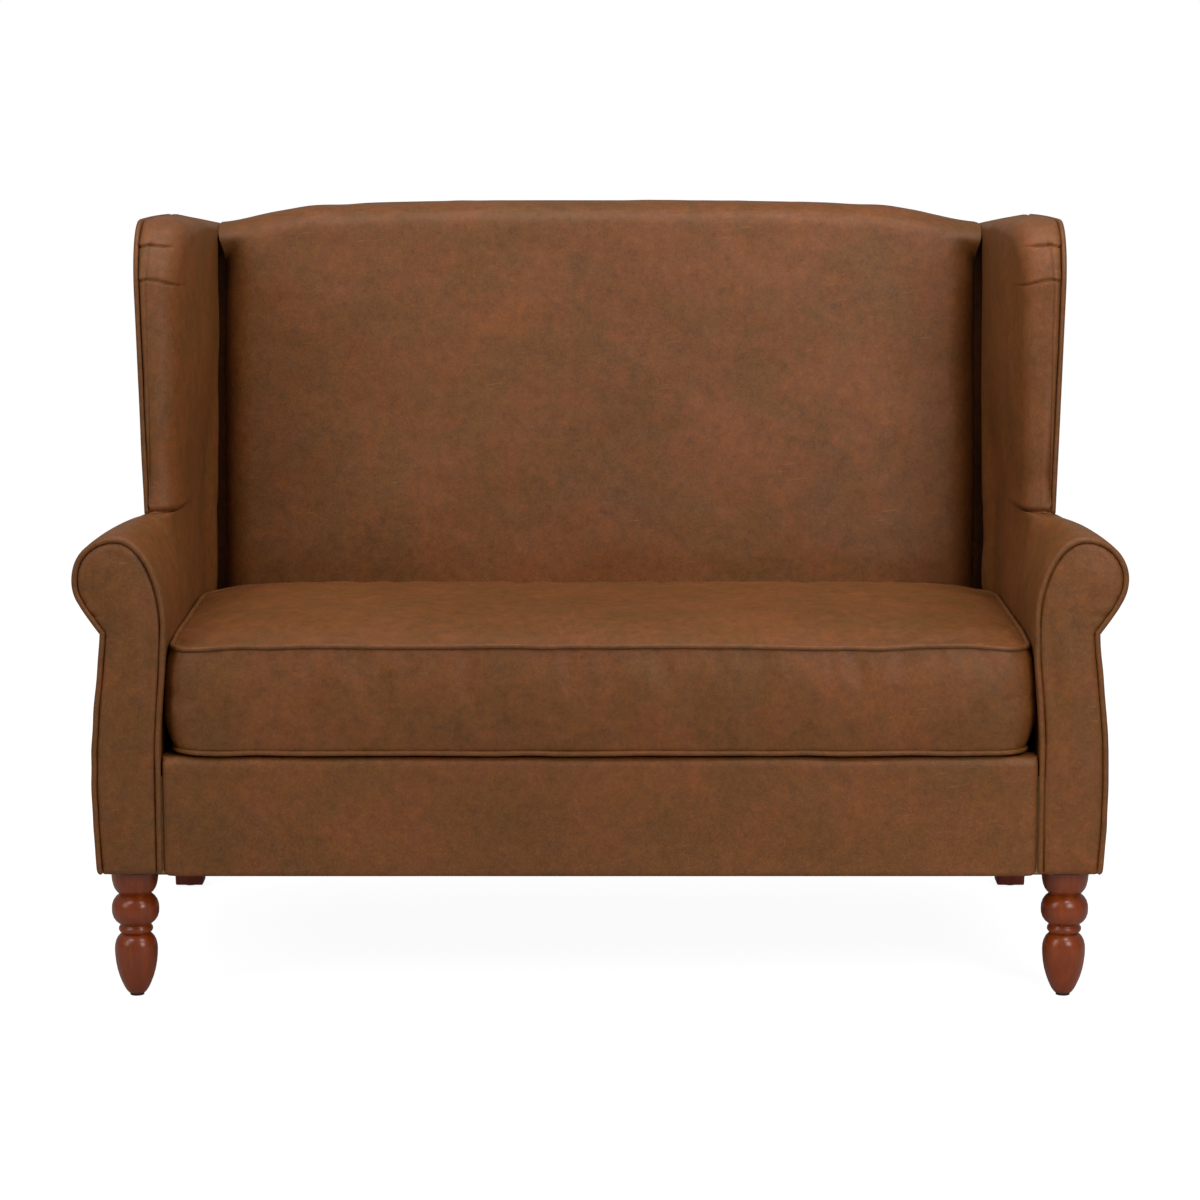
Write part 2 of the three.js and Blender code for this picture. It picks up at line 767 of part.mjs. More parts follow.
// Inside back: one padded panel, upright behind the cushion and raked above it, rolled over the crest
function insideBack() {
  const sides = roundShares.map((share) => [1, share * backEdgeRound, 0]);
  const half = [...sides, ...backColumnShares.map((share) => [1, backEdgeRound, share])];
  const columns = [
    ...half.map(([, inset, share]) => [-1, inset, share]),
    [0, backEdgeRound, 1],
    ...half.reverse(),
  ];
  const rows = [
    ...roundShares.map((share) => [share * crestRound, 0]),
    ...backRowShares.map((share) => [crestRound, share]),
  ];
  const foot = deckHeight + fit;
  const place = ([side, inset, share], [down, below]) => {
    const lean = lerp(crestHeight(backHalfWidth) - down, foot, below);
    const closed = seatSide(crease(lean), lean) - fit;
    const x = side * lerp(lerp(backHalfWidth, closed, cornerClosed(lean)) - inset, 0, share);
    return [x, lerp(crestHeight(x) - down, foot, below)];
  };
  const faceAt = (column, row) => {
    const [x, z] = place(column, row);
    const edge = Math.min(column[1] / backEdgeRound, row[0] / crestRound);
    return backFace(z) + backHollow * (x / backHalfWidth) ** 2 + backEdgeRound * rollShare(edge, 1);
  };
  const front = (column, row) => {
    const [x, z] = place(column, row);
    const drop = crestFrontDrop * (1 - row[0] / crestRound);
    return new THREE.Vector3(x, faceAt(column, row), z - drop);
  };
  const rim = (through, drop) => (column, row) => {
    const [x, z] = place(column, row);
    const y = lerp(faceAt(column, row), panelRear(z), through);
    return new THREE.Vector3(x, y, z - (row[0] > 0 ? 0 : drop));
  };
  const back = (column, row) => {
    const [x, top] = place(column, row);
    const z = top - crestRearDrop * (1 - row[0] / crestRound);
    return new THREE.Vector3(x, panelRear(z), z);
  };
  const [rise, fall] = crestRimShares;
  const fallDrop = crestRearDrop * rollShare(1 - fall, 1);
  const pad = slab(columns, rows, front, back, [rim(rise, 0), rim(fall, fallDrop)]);
  return cut(pad, backFrameSpace());
}

const crestColumns = [
  ...[...crestColumnShares].reverse().map((share) => -share * backHalfWidth),
  ...crestColumnShares.slice(1).map((share) => share * backHalfWidth),
];

// Room behind the inside back for the back's frame and its webbing
function backFrameSpace() {
  const wide = overallWidth / 2;
  const at = (depthAt) => (x, row) => {
    const side = Math.min(Math.abs(x), backHalfWidth);
    const z = lerp(deckHeight - backPadding, crestHeight(side) - backPadding, row);
    return new THREE.Vector3(x, depthAt(z), z);
  };
  return slab([-wide, ...crestColumns, wide], [0, 1],
    at((z) => postFront(z) - webbingThickness - 2 * fit), at((z) => rearPlane(z) + panelThickness));
}

// Crest rail: it follows the crest inside the pad, with lower ends between the posts
function crestRail() {
  const end = postInside - fit;
  const foot = (x) => crestHeight(Math.min(Math.abs(x), backHalfWidth)) - crestRailHeight;
  const top = (x) => (Math.abs(x) > backHalfWidth ? postTop - fit : crestHeight(x) - backPadding - fit);
  const shoulder = backHalfWidth + fit;
  return rakedRail([-end, -shoulder, ...crestColumns, shoulder, end], foot, top);
}

// Rail of the back between two heights, parallel to the rear plane
function rakedRail(columns, foot, top) {
  const at = (depth) => (x, row) => {
    const z = lerp(foot(x), top(x), row);
    return new THREE.Vector3(x, postFront(z) + depth, z);
  };
  return slab(columns, [0, 1], at(0), at(railThickness));
}

// Webbing across the back posts
function backWebbing(z) {
  const end = postInside + postWidth * bendShares[1];
  const at = (depth) => (x, row) => {
    const height = z + row * webbingWidth;
    return new THREE.Vector3(x, postFront(height) - fit - depth, height);
  };
  return slab([-end, end], [0, 1], at(0), at(webbingThickness));
}

// Half width of the rear at a height
function rearSide(z) {
  return z < neckHeight ? flank(frameDepth, z) : wingOutside(rearPlane(z), z);
}

// Outside back: a covered panel from the underside to just under the crest
function outsideBack() {
  const columns = [
    ...[...rearColumnShares].reverse().map((share) => -share),
    ...rearColumnShares.slice(1),
  ];
  const at = (offset) => (column, [height, share]) => {
    const top = rearTop(column * wingRearWidth) - crestRearDrop;
    const z = lerp(height, top, share);
    return new THREE.Vector3(column * rearSide(z), rearPlane(z) - offset, z);
  };
  const below = rearRowShares.map((share) => [lerp(underside, neckHeight, share), 0]);
  const rows = [...below, ...alongShares.map((share) => [armHeight, share])];
  return slab(columns, rows, at(0), at(panelThickness));
}

// A plate of even thickness across X, from its side view in depth and height
function plate(x0, x1, outline) {
  const rings = [x0, x1].map((x) => outline.map(([y, z]) => new THREE.Vector3(x, y, z)));
  return loft(rings, depthAndUp);
}

function backPost() {
  return plate(postInside, postInside + postWidth, [
    [postFront(underside), underside], [panelRear(underside), underside],
    [panelRear(postTop), postTop], [postFront(postTop), postTop],
  ]);
}

function sideRail() {
  const front = apronRear + railThickness + 2 * fit;
  return plate(sideRailInside, sideRailInside + sideRailThickness, [
    [front, underside], [postFront(underside) - fit, underside],
    [postFront(railTop) - fit, railTop], [front, railTop],
  ]);
}

function frontCornerBlock() {
  const x = sideRailInside + sideRailThickness + fit;
  const y = padFront + boardThickness + fit;
  const outside = flank(y + blockDepth, underside) - panelThickness - fit;
  const body = block(x, outside, y, y + blockDepth, underside, underside + blockHeight);
  return cut(body, cylinder(boltRadius + fit, legAxisX, legAxisY, 0, railTop, boltSides));
}

function rearCornerBlock() {
  const x = postInside + postWidth + fit;
  const y = panelRear(underside) - fit;
  const outside = flank(frameDepth, underside) - panelThickness - fit;
  return block(x, outside, y - postDepth, y, underside, underside + blockHeight);
}

// Front leg: a cup, a ball and a ring over a tapered body, with a bore for its bolt
function frontLeg() {
  const quarter = Math.PI / 2;
  const top = underside - fit;
  const arc = (z, height, from, to, neck, reach, steps) =>
    spread(from, to, steps).slice(1).map((angle) =>
      new THREE.Vector2(neck + (reach - neck) * Math.cos(angle), z + height * Math.sin(angle)));
  const flare = (from, to, low, high) => cornerShares.slice(1).map((share) =>
    new THREE.Vector2(lerp(from, to, Math.sin(share * quarter)), lerp(low, high, share)));
  const profile = [
    new THREE.Vector2(0, glideHeight),
    new THREE.Vector2(toeRadius - toeHeight / 2, glideHeight),
    new THREE.Vector2(toeRadius, toeHeight),
    ...flare(toeRadius, bodyRadius, toeHeight, bodyHeight),
    ...arc(bodyHeight, ringHeight - ringHalf - bodyHeight, 0, quarter, ringNeckRadius, bodyRadius, 4),
    ...arc(ringHeight, ringHalf, -quarter, quarter, ringNeckRadius, ringRadius, 4),
    ...arc(ballHeight, ballHalf, -quarter, quarter, cupNeckRadius, ballRadius, 8),
    ...flare(cupNeckRadius, cupRadius, cupNeckHeight, top),
    new THREE.Vector2(boltRadius + fit, top),
    new THREE.Vector2(boltRadius + fit, top - boltInLeg),
    new THREE.Vector2(0, top - boltInLeg),
  ];
  return new THREE.LatheGeometry(profile, legSides).rotateX(quarter).translate(legAxisX, legAxisY, 0);
}

// Rear leg: square and splayed, from the frame to its glide
function rearLeg() {
  const corners = [[0, 0], [1, 0], [1, 1], [0, 1]];
  const ring = (z, size, splay) => corners.map(([u, v]) =>
    new THREE.Vector3(rearLegOutside - u * size, rearLegSetback + splay + v * size, z));
  return loft([
    ring(glideHeight, rearLegFoot, rearLegSplay),
    ring(underside - fit, rearLegTop, 0),
  ], (p) => new THREE.Vector2(p.x, p.y));
}

function glide(x, y) {
  return cylinder(glideRadius, x, y, 0, glideHeight - fit, boltSides);
}

// Bolt that holds a front leg to its corner block
function legBolt() {
  const foot = underside - boltInLeg;
  return cylinder(boltRadius, legAxisX, legAxisY, foot, underside + boltInBlock, boltSides);
}

// Zigzag spring from the front rail to the rear rail, risen in the middle
function seatSpring(x) {
  const start = apronRear + railThickness / 2;
  const end = rearRailSetback + railThickness / 2;
  const at = (share, side) => {
    const rise = springRise * Math.sin(Math.PI * share);
    const z = railTop + springWire + fit + rise;
    return new THREE.Vector3(x + side * springHalfWidth, lerp(start, end, share), z);
  };
  const bends = Array.from({ length: springBends }, (_, i) => bendShares.map((share) =>
    at((i + share) / springBends, i % 2 ? 1 : -1)));
  return wireThrough([at(0, 0), ...bends.flat(), at(1, 0)], springWire, springSides);
}

// Apron: the covered front below the cushion, its rounded top running back to the deck pad
function apron() {
  const foot = underside - apronDrop;
  const top = deckHeight - fit;
  const shape = new THREE.Shape();
  shape.moveTo(apronSetback, foot);
  shape.lineTo(apronSetback, top - apronRound);
  shape.absarc(apronSetback + apronRound, top - apronRound, apronRound, Math.PI, Math.PI / 2, true);
  shape.lineTo(apronFlange, top);
  shape.lineTo(apronFlange, top - deckPadding);
  shape.lineTo(apronRear, top - deckPadding);
  shape.lineTo(apronRear, foot);
  const section = shape.extractPoints(apronSteps).shape.map((p) => [p.x, p.y]);
  return plate(-apronHalfWidth, apronHalfWidth, section);
}

// Deck pad: it lies on the springs and follows the arms in plan
function deckPad() {
  const edge = (y) => seatSide(y, deckHeight) + armLean - 2 * fit;
  const rear = padRear - railThickness / 2;
  const middle = armStations.filter((y) => y > apronFlange && y < rear);
  const columns = [apronFlange + fit, ...middle, rear];
  const at = (height) => (y, side) => new THREE.Vector3(side * edge(y), y, height);
  return slab(columns, [-1, 1], at(deckHeight - deckPadding), at(deckHeight));
}

// Grid of the seat cushion: each entry is a side, a distance in from it and a share of the way across
function cushionGrid(acrossShares) {
  const edge = (side) => cornerShares.map((share) => [side, share * cushionCorner, 0]);
  return [
    ...edge(0),
    ...acrossShares.map((share) => [0, cushionCorner, share]),
    ...edge(1).reverse(),
  ];
}

// A body in the shape of the seat cushion: rings give the height and the inset of its sides, and the
// sheets above and below are crowned
function cushionBody(rings, skin, edge, acrossShares, depthShares) {
  const place = ([side, across, xShare], [end, down, yShare], inset, pulled) => {
    const [a, b] = roundCorner(across, down, cushionCorner);
    const width = seatWidth / 2 - cushionSideFit - inset;
    const [front, rear] = [cushionFront + inset, seatDepth - cushionSideFit - inset];
    const x = lerp(a - width, width - a, xShare > 0 ? xShare : side);
    const tucked = end === 1 && down === 0 ? pulled * zipSetback * (across / cushionCorner) : 0;
    return [x, lerp(front + b, rear - b, yShare > 0 ? yShare : end) - tucked];
  };
  const rimOf = ([z, inset, pulled]) => (column, row) => {
    const [x, y] = place(column, row, inset, pulled);
    return new THREE.Vector3(x, y, z);
  };
  const sheet = (seam, middle, run) => (column, row) => {
    const [x, y] = place(column, row, edge, 0);
    const across = Math.min(seatWidth / 2 - Math.abs(x), y - cushionFront, seatDepth - y);
    return new THREE.Vector3(x, y, lerp(middle, seam, rollShare(across - edge, run)));
  };
  const columns = cushionGrid(acrossShares);
  const rows = cushionGrid(depthShares);
  const top = sheet(seamTop + weltRadius - skin, seatHeight - skin, crownRun);
  const foot = deckHeight + fit + skin;
  const bottom = sheet(seamFoot - weltRadius + skin, foot, sagRun);
  return slab(columns, rows, top, bottom, rings.map(rimOf));
}

// Side profile of the cushion's cover: height, inset and share of the zip's setback, welts included
const weltRings = (seam) => [1, 0, -1].map((side) =>
  [seam + side * weltRadius, seamInset - weltRadius + Math.abs(side) * weltRadius / 2, 0]);
const coverRings = [
  ...weltRings(seamTop),
  ...boxingShares.map(([up, drawn, pulled]) => [lerp(seamFoot, seamTop, up), drawn * seamInset, pulled]),
  ...weltRings(seamFoot),
];
const coreInset = seamInset + coverThickness;

function coreBody(skin) {
  const inset = coreInset + skin;
  const rings = [[seamTop - skin, inset, 0], [seamFoot + skin, inset, 0]];
  return cushionBody(rings, coverThickness + skin, inset + weltRadius, coreAcrossShares, coreDepthShares);
}

const zipRear = seatDepth - cushionSideFit - zipSetback;

function cushionCover() {
  const half = zipLength / 2;
  const slot = block(-half, half, zipRear - 2 * zipSetback, seatDepth, zipFoot, zipFoot + zipHeight);
  const cover = cushionBody(coverRings, 0, seamInset, coverAcrossShares, coverDepthShares);
  return cut(cover, coreBody(0), slot);
}

function cushionZip() {
  const half = zipLength / 2 - fit;
  return block(-half, half, zipRear - zipThickness, zipRear, zipFoot + fit, zipFoot + zipHeight - fit);
}

// Slider of the zip at one end of its run, with its pull laid to the side
function zipSlider() {
  const x = -(zipLength / 2 - sliderMargin);
  const y = zipRear + fit;
  const z = zipFoot + zipHeight / 2;
  const half = sliderHeight / 2;
  const body = block(x, x + sliderLength, y, y + sliderDepth, z - half, z + half);
  const start = x + sliderLength / 2;
  const [behind, edge] = [y + sliderDepth - pullDepth / 2, z - pullHeight / 2];
  const pull = block(start, start + pullLength, behind, behind + pullDepth, edge, edge + pullHeight);
  return join(body, pull);
}

// Dust cover: a thin cloth under the frame, cut away round the legs
function dustCover() {
  const half = flank(frameDepth, underside) - panelThickness - fit;
  const top = underside - fit;
  const cloth = block(
    -half, half, apronRear + fit, panelRear(underside) - fit, top - dustClothThickness, top,
  );
  const holes = [-1, 1].flatMap((side) => {
    const near = side * (rearLegOutside - rearLegTop - dustClothInset);
    const [low, high] = [near, (side * overallWidth) / 2].sort((a, b) => a - b);
    return [
      cylinder(cupRadius + dustClothInset, side * legAxisX, legAxisY, 0, underside, legSides),
      block(low, high, rearLegSetback - dustClothInset, frameDepth, 0, underside),
    ];
  });
  return cut(cloth, ...holes);
}

// The settee: pieces on the middle plane, then one side and its mirror image
const settee = new THREE.Group();
const railEnd = postInside - fit;
const frontRailEnd = seatWidth / 2 + armLean + armPadding - fit;
const centrePieces = [
  ["front_rail", block(-frontRailEnd, frontRailEnd, apronRear + fit, apronRear + fit + railThickness,
    underside, railTop), beech],
  ["rear_rail", block(-railEnd, railEnd, rearRailSetback, rearRailSetback + railThickness,
    underside, railTop), beech],
  ["centre_rail", block(-railThickness / 2, railThickness / 2, apronRear + railThickness + 2 * fit,
    rearRailSetback - fit, underside, centreRailTop), beech],
  ["lower_back_rail", rakedRail([-railEnd, railEnd], () => lowerRailFoot,
    () => lowerRailFoot + lowerRailHeight), beech],
  ["crest_rail", crestRail(), beech],
  ["deck_pad", deckPad(), felt],
  ["inside_back", insideBack(), leather],
  ["outside_back", outsideBack(), leather],
  ["apron", apron(), leather],
  ["dust_cover", dustCover(), dustCloth],
  ["cushion_cover", cushionCover(), leather],
  ["cushion_foam", coreBody(2 * fit), foam],
  ["cushion_zip", cushionZip(), nylon],
  ["zip_slider", zipSlider(), steel],
];
centrePieces.push(...webbingShares.map((share, i) =>
  [`back_webbing_${i + 1}`, backWebbing(lerp(deckHeight, postTop, share)), webbing]));
for (const [name, geometry, look] of centrePieces) settee.add(meshOf(name, geometry, look));

const rearGlideY = rearLegSetback + rearLegSplay + rearLegFoot / 2;
const rearGlideX = rearLegOutside - rearLegFoot / 2;
const sidePieces = [
  ["side_rail", sideRail(), beech],
  ["front_corner_block", frontCornerBlock(), beech],
  ["rear_corner_block", rearCornerBlock(), beech],
  ["back_post", backPost(), beech],
  ["arm_front_board", armFrontBoard(), beech],
  ["arm_rail", armRail(), beech],
  ["wing_board", wingBoardBody(0), beech],
  ["front_leg", frontLeg(), mahogany],
  ["rear_leg", rearLeg(), darkWood],
  ["leg_bolt", legBolt(), steel],
  ["front_glide", glide(legAxisX, legAxisY), nylon],
  ["rear_glide", glide(rearGlideX, rearGlideY), nylon],
  ["inside_arm", insideArm(), leather],
  ["arm_facing", armFacing(), leather],
  ["facing_welt", facingWelt(), leather],
  ["outside_arm", outsideArm(), leather],
  ["inside_wing", insideWing(), leather],
  ["outside_wing", outsideWing(), leather],
];
for (let i = 0; i < springsPerSide; i++) {
  sidePieces.push([`seat_spring_${i + 1}`, seatSpring((i + 1 / 2) * springPitch), steel]);
}
for (const [prefix, mirror] of [["right_", 1], ["left_", -1]]) {
  const side = new THREE.Group();
  side.scale.x = mirror;
  for (const [name, geometry, look] of sidePieces) side.add(meshOf(prefix + name, geometry, look));
  settee.add(side);
}

// The part's frame has its origin on the floor, under the middle of the settee
const group = new THREE.Group();
const bounds = new THREE.Box3().setFromObject(settee);
settee.position.y = -(bounds.min.y + bounds.max.y) / 2;
group.add(settee);
export default group;
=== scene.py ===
"""High back settee in brown leather: soft pieces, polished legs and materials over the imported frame."""
import math
import bmesh
import bpy
import numpy as np
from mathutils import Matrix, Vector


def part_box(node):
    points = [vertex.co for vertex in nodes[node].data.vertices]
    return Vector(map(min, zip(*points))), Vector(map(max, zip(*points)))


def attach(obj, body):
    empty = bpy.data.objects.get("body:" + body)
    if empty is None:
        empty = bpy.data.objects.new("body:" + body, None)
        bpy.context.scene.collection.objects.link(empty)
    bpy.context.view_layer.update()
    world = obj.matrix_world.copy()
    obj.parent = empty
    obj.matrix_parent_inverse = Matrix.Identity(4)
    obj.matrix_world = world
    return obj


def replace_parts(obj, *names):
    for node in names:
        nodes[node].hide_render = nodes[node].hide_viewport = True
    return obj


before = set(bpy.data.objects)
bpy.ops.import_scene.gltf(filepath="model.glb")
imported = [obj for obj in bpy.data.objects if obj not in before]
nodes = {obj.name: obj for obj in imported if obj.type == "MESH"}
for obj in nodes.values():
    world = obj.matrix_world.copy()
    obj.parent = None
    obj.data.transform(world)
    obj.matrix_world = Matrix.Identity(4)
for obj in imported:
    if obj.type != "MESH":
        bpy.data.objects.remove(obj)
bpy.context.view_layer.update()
scene = bpy.context.scene

# Sizes in millimetres, in the drawing frame: x across, y back from the front, z up
METRE = 1000
RAIL_FRONT = 10.3
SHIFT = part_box("front_rail")[0].y * METRE - RAIL_FRONT

WIDTH = 1450
UNDERSIDE = 184
ARM_HEIGHT = 658
BACK_HEIGHT = 1083
DEPTH = 697
SEAT_WIDTH = 1195
SEAT_DEPTH = 546
DECK = 350
FIT = 0.3
WELT = 3.9
PANEL = 2 * WELT
ARM_PADDING = 14
SCROLL_ROUND = 60.3
SCROLL_SWELL = 1.2
SCROLL_DROP = 124
SCROLL_START = math.radians(7)
SCROLL_TURN = math.radians(32)
NECK = 524
NECK_UNDERCUT = 36.5
NECK_TAPER = 16.5
FLANK_SWELL = 16
REAR_SWELL = 4
ARM_LEAN = 10.5
CUSHION_PRESS = 3.2
PRESS_HEIGHT = 445
PRESS_START = 12
PRESS_RUN = 26
PRESS_SPREAD = 42
ARM_SWEEP = 28.5
SWEEP_POWER = 2.3
SCROLL_RUN_OUT = 105
TAIL_ROUND = 34
TAIL_OUTSIDE = 660
GATHER_START = 60
GATHER_RUN = 75
WING_SETBACK = 246
WING_RAKE = math.radians(2.6)
WING_FOOT_WIDTH = 654.6
WING_FLARE = 14
WING_REAR_WIDTH = 674
WING_TOP_DROP = 9
WING_TOP_FALL = 23
TOP_FALL_POWER = 1.6
WING_CORNER = 100
WING_BLEND = 230
WING_NOSE = 15.5
NOSE_DECAY = 110
NOSE_ROUND = 32
VALLEY_ROUND = 13
TOP_SINK = 13
SINK_START = WING_SETBACK + 184
SINK_RUN = 210
BACK_RAKE = math.radians(9.5)
LUMBAR = 540
LUMBAR_EASE = 60
REAR_RAKE = math.radians(3.8)
BACK_HALF = 574
BACK_ROUND = 46
BACK_HOLLOW = 4
CREST_ROUND = 30
CREST_CROWN = 6
CREST_DIP = 29
CREST_SHOULDER = 405
CREST_FOOT = 605
CREST_BUMPS = ((402, 28, 2.0), (515, 32, -1.0))
CREST_SAG = 1.1
CREST_SAG_HALF = 240
CREASE_DEPTH = 16
CREASE_INSET = 15
CREASE_EASE = 62
CREST_REAR_DROP = 12
RECESS = 21
CORNER_START = 1000
CORNER_RISE = 40
RAIL_TOP = 322
POST_DEPTH = 50
WEBBING = 1.5
FLANK_SHARES = (
    (0, 0.05, 0.15, 0.34, 0.49, 0.62, 0.8, 1),
    (0, 0.07, 0.28, 0.72, 0.95, 1, 0.93, 0.66),
)
CREASE_SHARES = (0, 0.5, 0.8, 0.9, 1)


def ease(t):
    s = np.clip(t, 0, 1)
    return s * s * (3 - 2 * s)


def lerp(a, b, t):
    return a + (b - a) * t


def roll(distance, radius):
    """How far a rolled edge stands back at a distance from the rim, as a share of its depth."""
    t = 1 - np.clip(np.asarray(distance, float) / radius, 0, 1)
    return 1 - np.sqrt(1 - t * t)


def points_at(x, y, z):
    """A table of points from tables of their coordinates, or from one number for all."""
    return np.stack(np.broadcast_arrays(x, y, z), axis=-1)


def grid(rows, columns):
    return np.meshgrid(rows, columns, indexing="ij")


def least(*distances):
    return np.minimum.reduce(np.broadcast_arrays(*distances))


def hill(distance, width):
    """A smooth rise from 0 to 1 and back, with its top at distance 0."""
    return np.exp(-(distance / width) ** 2)


def ripple(points, size, seed):
    """Smooth noise between about -1 and 1, with waves of about the given size."""
    random = np.random.default_rng(seed)
    total = np.zeros(points.shape[:-1])
    waves = 14
    for _ in range(waves):
        direction = random.normal(size=3)
        direction *= 2 * math.pi / size * random.uniform(0.55, 1.5) / np.linalg.norm(direction)
        total += np.sin(points @ direction + random.uniform(0, 2 * math.pi))
    return total / math.sqrt(waves)


# Shared surfaces of the settee, as in the part

def rear_plane(z):
    return DEPTH + (z - UNDERSIDE) * math.tan(REAR_RAKE)


def panel_rear(z):
    return rear_plane(z) - PANEL - FIT


def inner_rear(z):
    return panel_rear(z) - POST_DEPTH - WEBBING - 2 * FIT


def back_face(z):
    rise = np.maximum(0, z - LUMBAR)
    return SEAT_DEPTH + math.tan(BACK_RAKE) * rise * rise / (rise + LUMBAR_EASE)


def crease(z):
    return back_face(z) + CREASE_DEPTH


def corner_closed(z):
    return ease((z - CORNER_START) / CORNER_RISE)


def seat_side(y, z):
    turn = ease((y - crease(z)) / CREASE_EASE + 1)
    recess = np.clip(y - crease(z), 0, RECESS) * (1 - corner_closed(z))
    return SEAT_WIDTH / 2 - CREASE_INSET * turn + recess


def arm_inside(y, z):
    """Inner face of an arm: it leans out towards the deck and gives way where the cushion presses on it."""
    waist = ARM_HEIGHT - SCROLL_DROP
    lean = ARM_LEAN * ease((waist - z) / (waist - DECK))
    press = CUSHION_PRESS * ease((y - PRESS_START) / PRESS_RUN) * hill(z - PRESS_HEIGHT, PRESS_SPREAD)
    return seat_side(y, waist) + lean + press


def crest_height(x):
    side = np.abs(x)
    crown = CREST_CROWN * np.minimum(side / CREST_SHOULDER, 1) ** 2
    for place, width, depth in CREST_BUMPS:
        crown = crown + depth * hill(side - place, width)
    crown = crown + CREST_SAG * ease(1 - side / CREST_SAG_HALF)
    return BACK_HEIGHT - crown - CREST_DIP * ease((side - CREST_SHOULDER) / (CREST_FOOT - CREST_SHOULDER))


def wing_front(z):
    return WING_SETBACK + (z - ARM_HEIGHT) * math.tan(WING_RAKE)


def wing_top(y):
    start = wing_front(BACK_HEIGHT)
    along = np.clip((y - start) / (rear_plane(BACK_HEIGHT) - start), 0, 1)
    return BACK_HEIGHT - lerp(WING_TOP_DROP, WING_TOP_FALL, along ** TOP_FALL_POWER)


def rear_top(x):
    rise = ease((np.abs(x) - CREST_FOOT) / (WING_REAR_WIDTH - CREST_FOOT))
    return lerp(crest_height(x), wing_top(rear_plane(BACK_HEIGHT)), rise)


def neck_line(y):
    return WIDTH / 2 - NECK_UNDERCUT - NECK_TAPER * y / DEPTH


def flank(y, z):
    down = np.clip((NECK - z) / (NECK - UNDERSIDE), 0, 1)
    return neck_line(y) + lerp(FLANK_SWELL, REAR_SWELL, y / DEPTH) * np.interp(down, *FLANK_SHARES)


def wing_outside(y, z):
    height = np.clip((z - ARM_HEIGHT) / (BACK_HEIGHT - ARM_HEIGHT), 0, 1)
    along = np.clip((y - WING_SETBACK) / (rear_plane(z) - WING_SETBACK), 0, 1)
    wing = lerp(WING_FOOT_WIDTH + WING_FLARE * height, WING_REAR_WIDTH, along)
    return lerp(neck_line(y), wing, ease((z - NECK) / (ARM_HEIGHT - NECK)))


def wing_inside(y, z):
    """Inner face of a wing: its nose thins out towards the back, and more so higher up."""
    run = crease(z) - wing_front(z)
    spent = np.exp(-run / NOSE_DECAY)
    share = np.exp(-np.clip(y - wing_front(z), 0, run) / NOSE_DECAY)
    turn = ease((y - crease(z)) / CREASE_EASE + 1)
    fall = (share - spent) / (1 - spent)
    at_arm = seat_side(y, z) + WING_NOSE * fall
    above = seat_side(y, z) - CREASE_INSET * (1 - turn) + (CREASE_INSET + WING_NOSE) * fall
    return lerp(at_arm, above, ease((z - ARM_HEIGHT) / WING_BLEND))


def scroll_at(y):
    sweep = ARM_SWEEP * min(y / WING_SETBACK, 1) ** SWEEP_POWER
    run_out = ease((y - WING_SETBACK) / SCROLL_RUN_OUT)
    outside = lerp(WIDTH / 2 + SCROLL_SWELL - sweep, TAIL_OUTSIDE, run_out)
    radius = lerp(SCROLL_ROUND, TAIL_ROUND, run_out)
    return outside - radius, ARM_HEIGHT - radius, radius, run_out


def arm_outline(y, inset, foot, neck_foot):
    """Outline of an arm at a depth: up the inner face, over the scroll and down to the neck."""
    x, z, radius, run_out = scroll_at(y)
    waist = ARM_HEIGHT - SCROLL_DROP
    inside = seat_side(y, waist) + inset
    gathered = ease((y - WING_SETBACK + GATHER_START) / GATHER_RUN)
    low = np.linspace(foot, waist, 20)[:-1]
    turn = np.linspace(0, math.pi / 2, 26)
    rising = waist + (SCROLL_DROP - inset) * np.sin(turn)
    arc = x - (x - inside) * np.cos(turn)
    upright = lerp(inside, wing_inside(y, ARM_HEIGHT) + inset, ease((rising - waist) / SCROLL_DROP))
    turn = np.linspace(math.pi / 2 - SCROLL_START, -SCROLL_TURN, 28)
    round_x, round_z = x + (radius - inset) * np.cos(turn), z + (radius - inset) * np.sin(turn)
    neck = lerp(neck_line(y), TAIL_OUTSIDE, run_out) - inset
    share = np.linspace(0, 1, 9)[1:]
    across = (arm_inside(y, low) + inset, lerp(arc, upright, gathered), round_x,
              lerp(round_x[-1], neck, share ** 1.1))
    heights = (low, rising, round_z, lerp(round_z[-1], neck_foot, share))
    return points_at(np.concatenate(across), y, np.concatenate(heights))


def front_outline(inset, foot):
    """Outline of an arm's front, from the foot of its inner side over the scroll to the foot of its flank."""
    inner = arm_outline(0, inset, foot, NECK)[:-1]
    heights = np.linspace(NECK, foot, 40)
    return np.concatenate([inner, points_at(flank(0, heights) - inset, 0, heights)])


def round_corner(across, down, radius):
    """Distances from two edges, moved so that the square corner between them becomes round."""
    a = radius - np.minimum(across, radius)
    b = radius - np.minimum(down, radius)
    reach = np.hypot(a, b)
    turn = np.where(reach > 0, np.maximum(a, b) / np.maximum(reach, 1e-9), 1)
    return radius - a * turn, radius - b * turn


def wing_spot(column, row, foot, run):
    """Depth and height of a point of a wing's side view, numbered from the front and top edges."""
    set_back, set_down = round_corner(column, row, WING_CORNER)
    knee = max(ARM_HEIGHT, foot)
    below = np.maximum(0, row / WING_CORNER - 1)
    along = np.maximum(0, column / WING_CORNER - 1)

    def down(top):
        upper = lerp(top - set_down, knee, np.minimum(below, 1))
        return np.where(below > 1, lerp(knee, foot, below - 1), upper)

    front = wing_front(down(BACK_HEIGHT)) + set_back
    guess = run(front, down(wing_top(rear_plane(BACK_HEIGHT))), along)
    y = run(front, down(wing_top(guess)), along)
    return y, down(wing_top(y))


def even_run(front, z, along):
    return lerp(front, panel_rear(z), along)


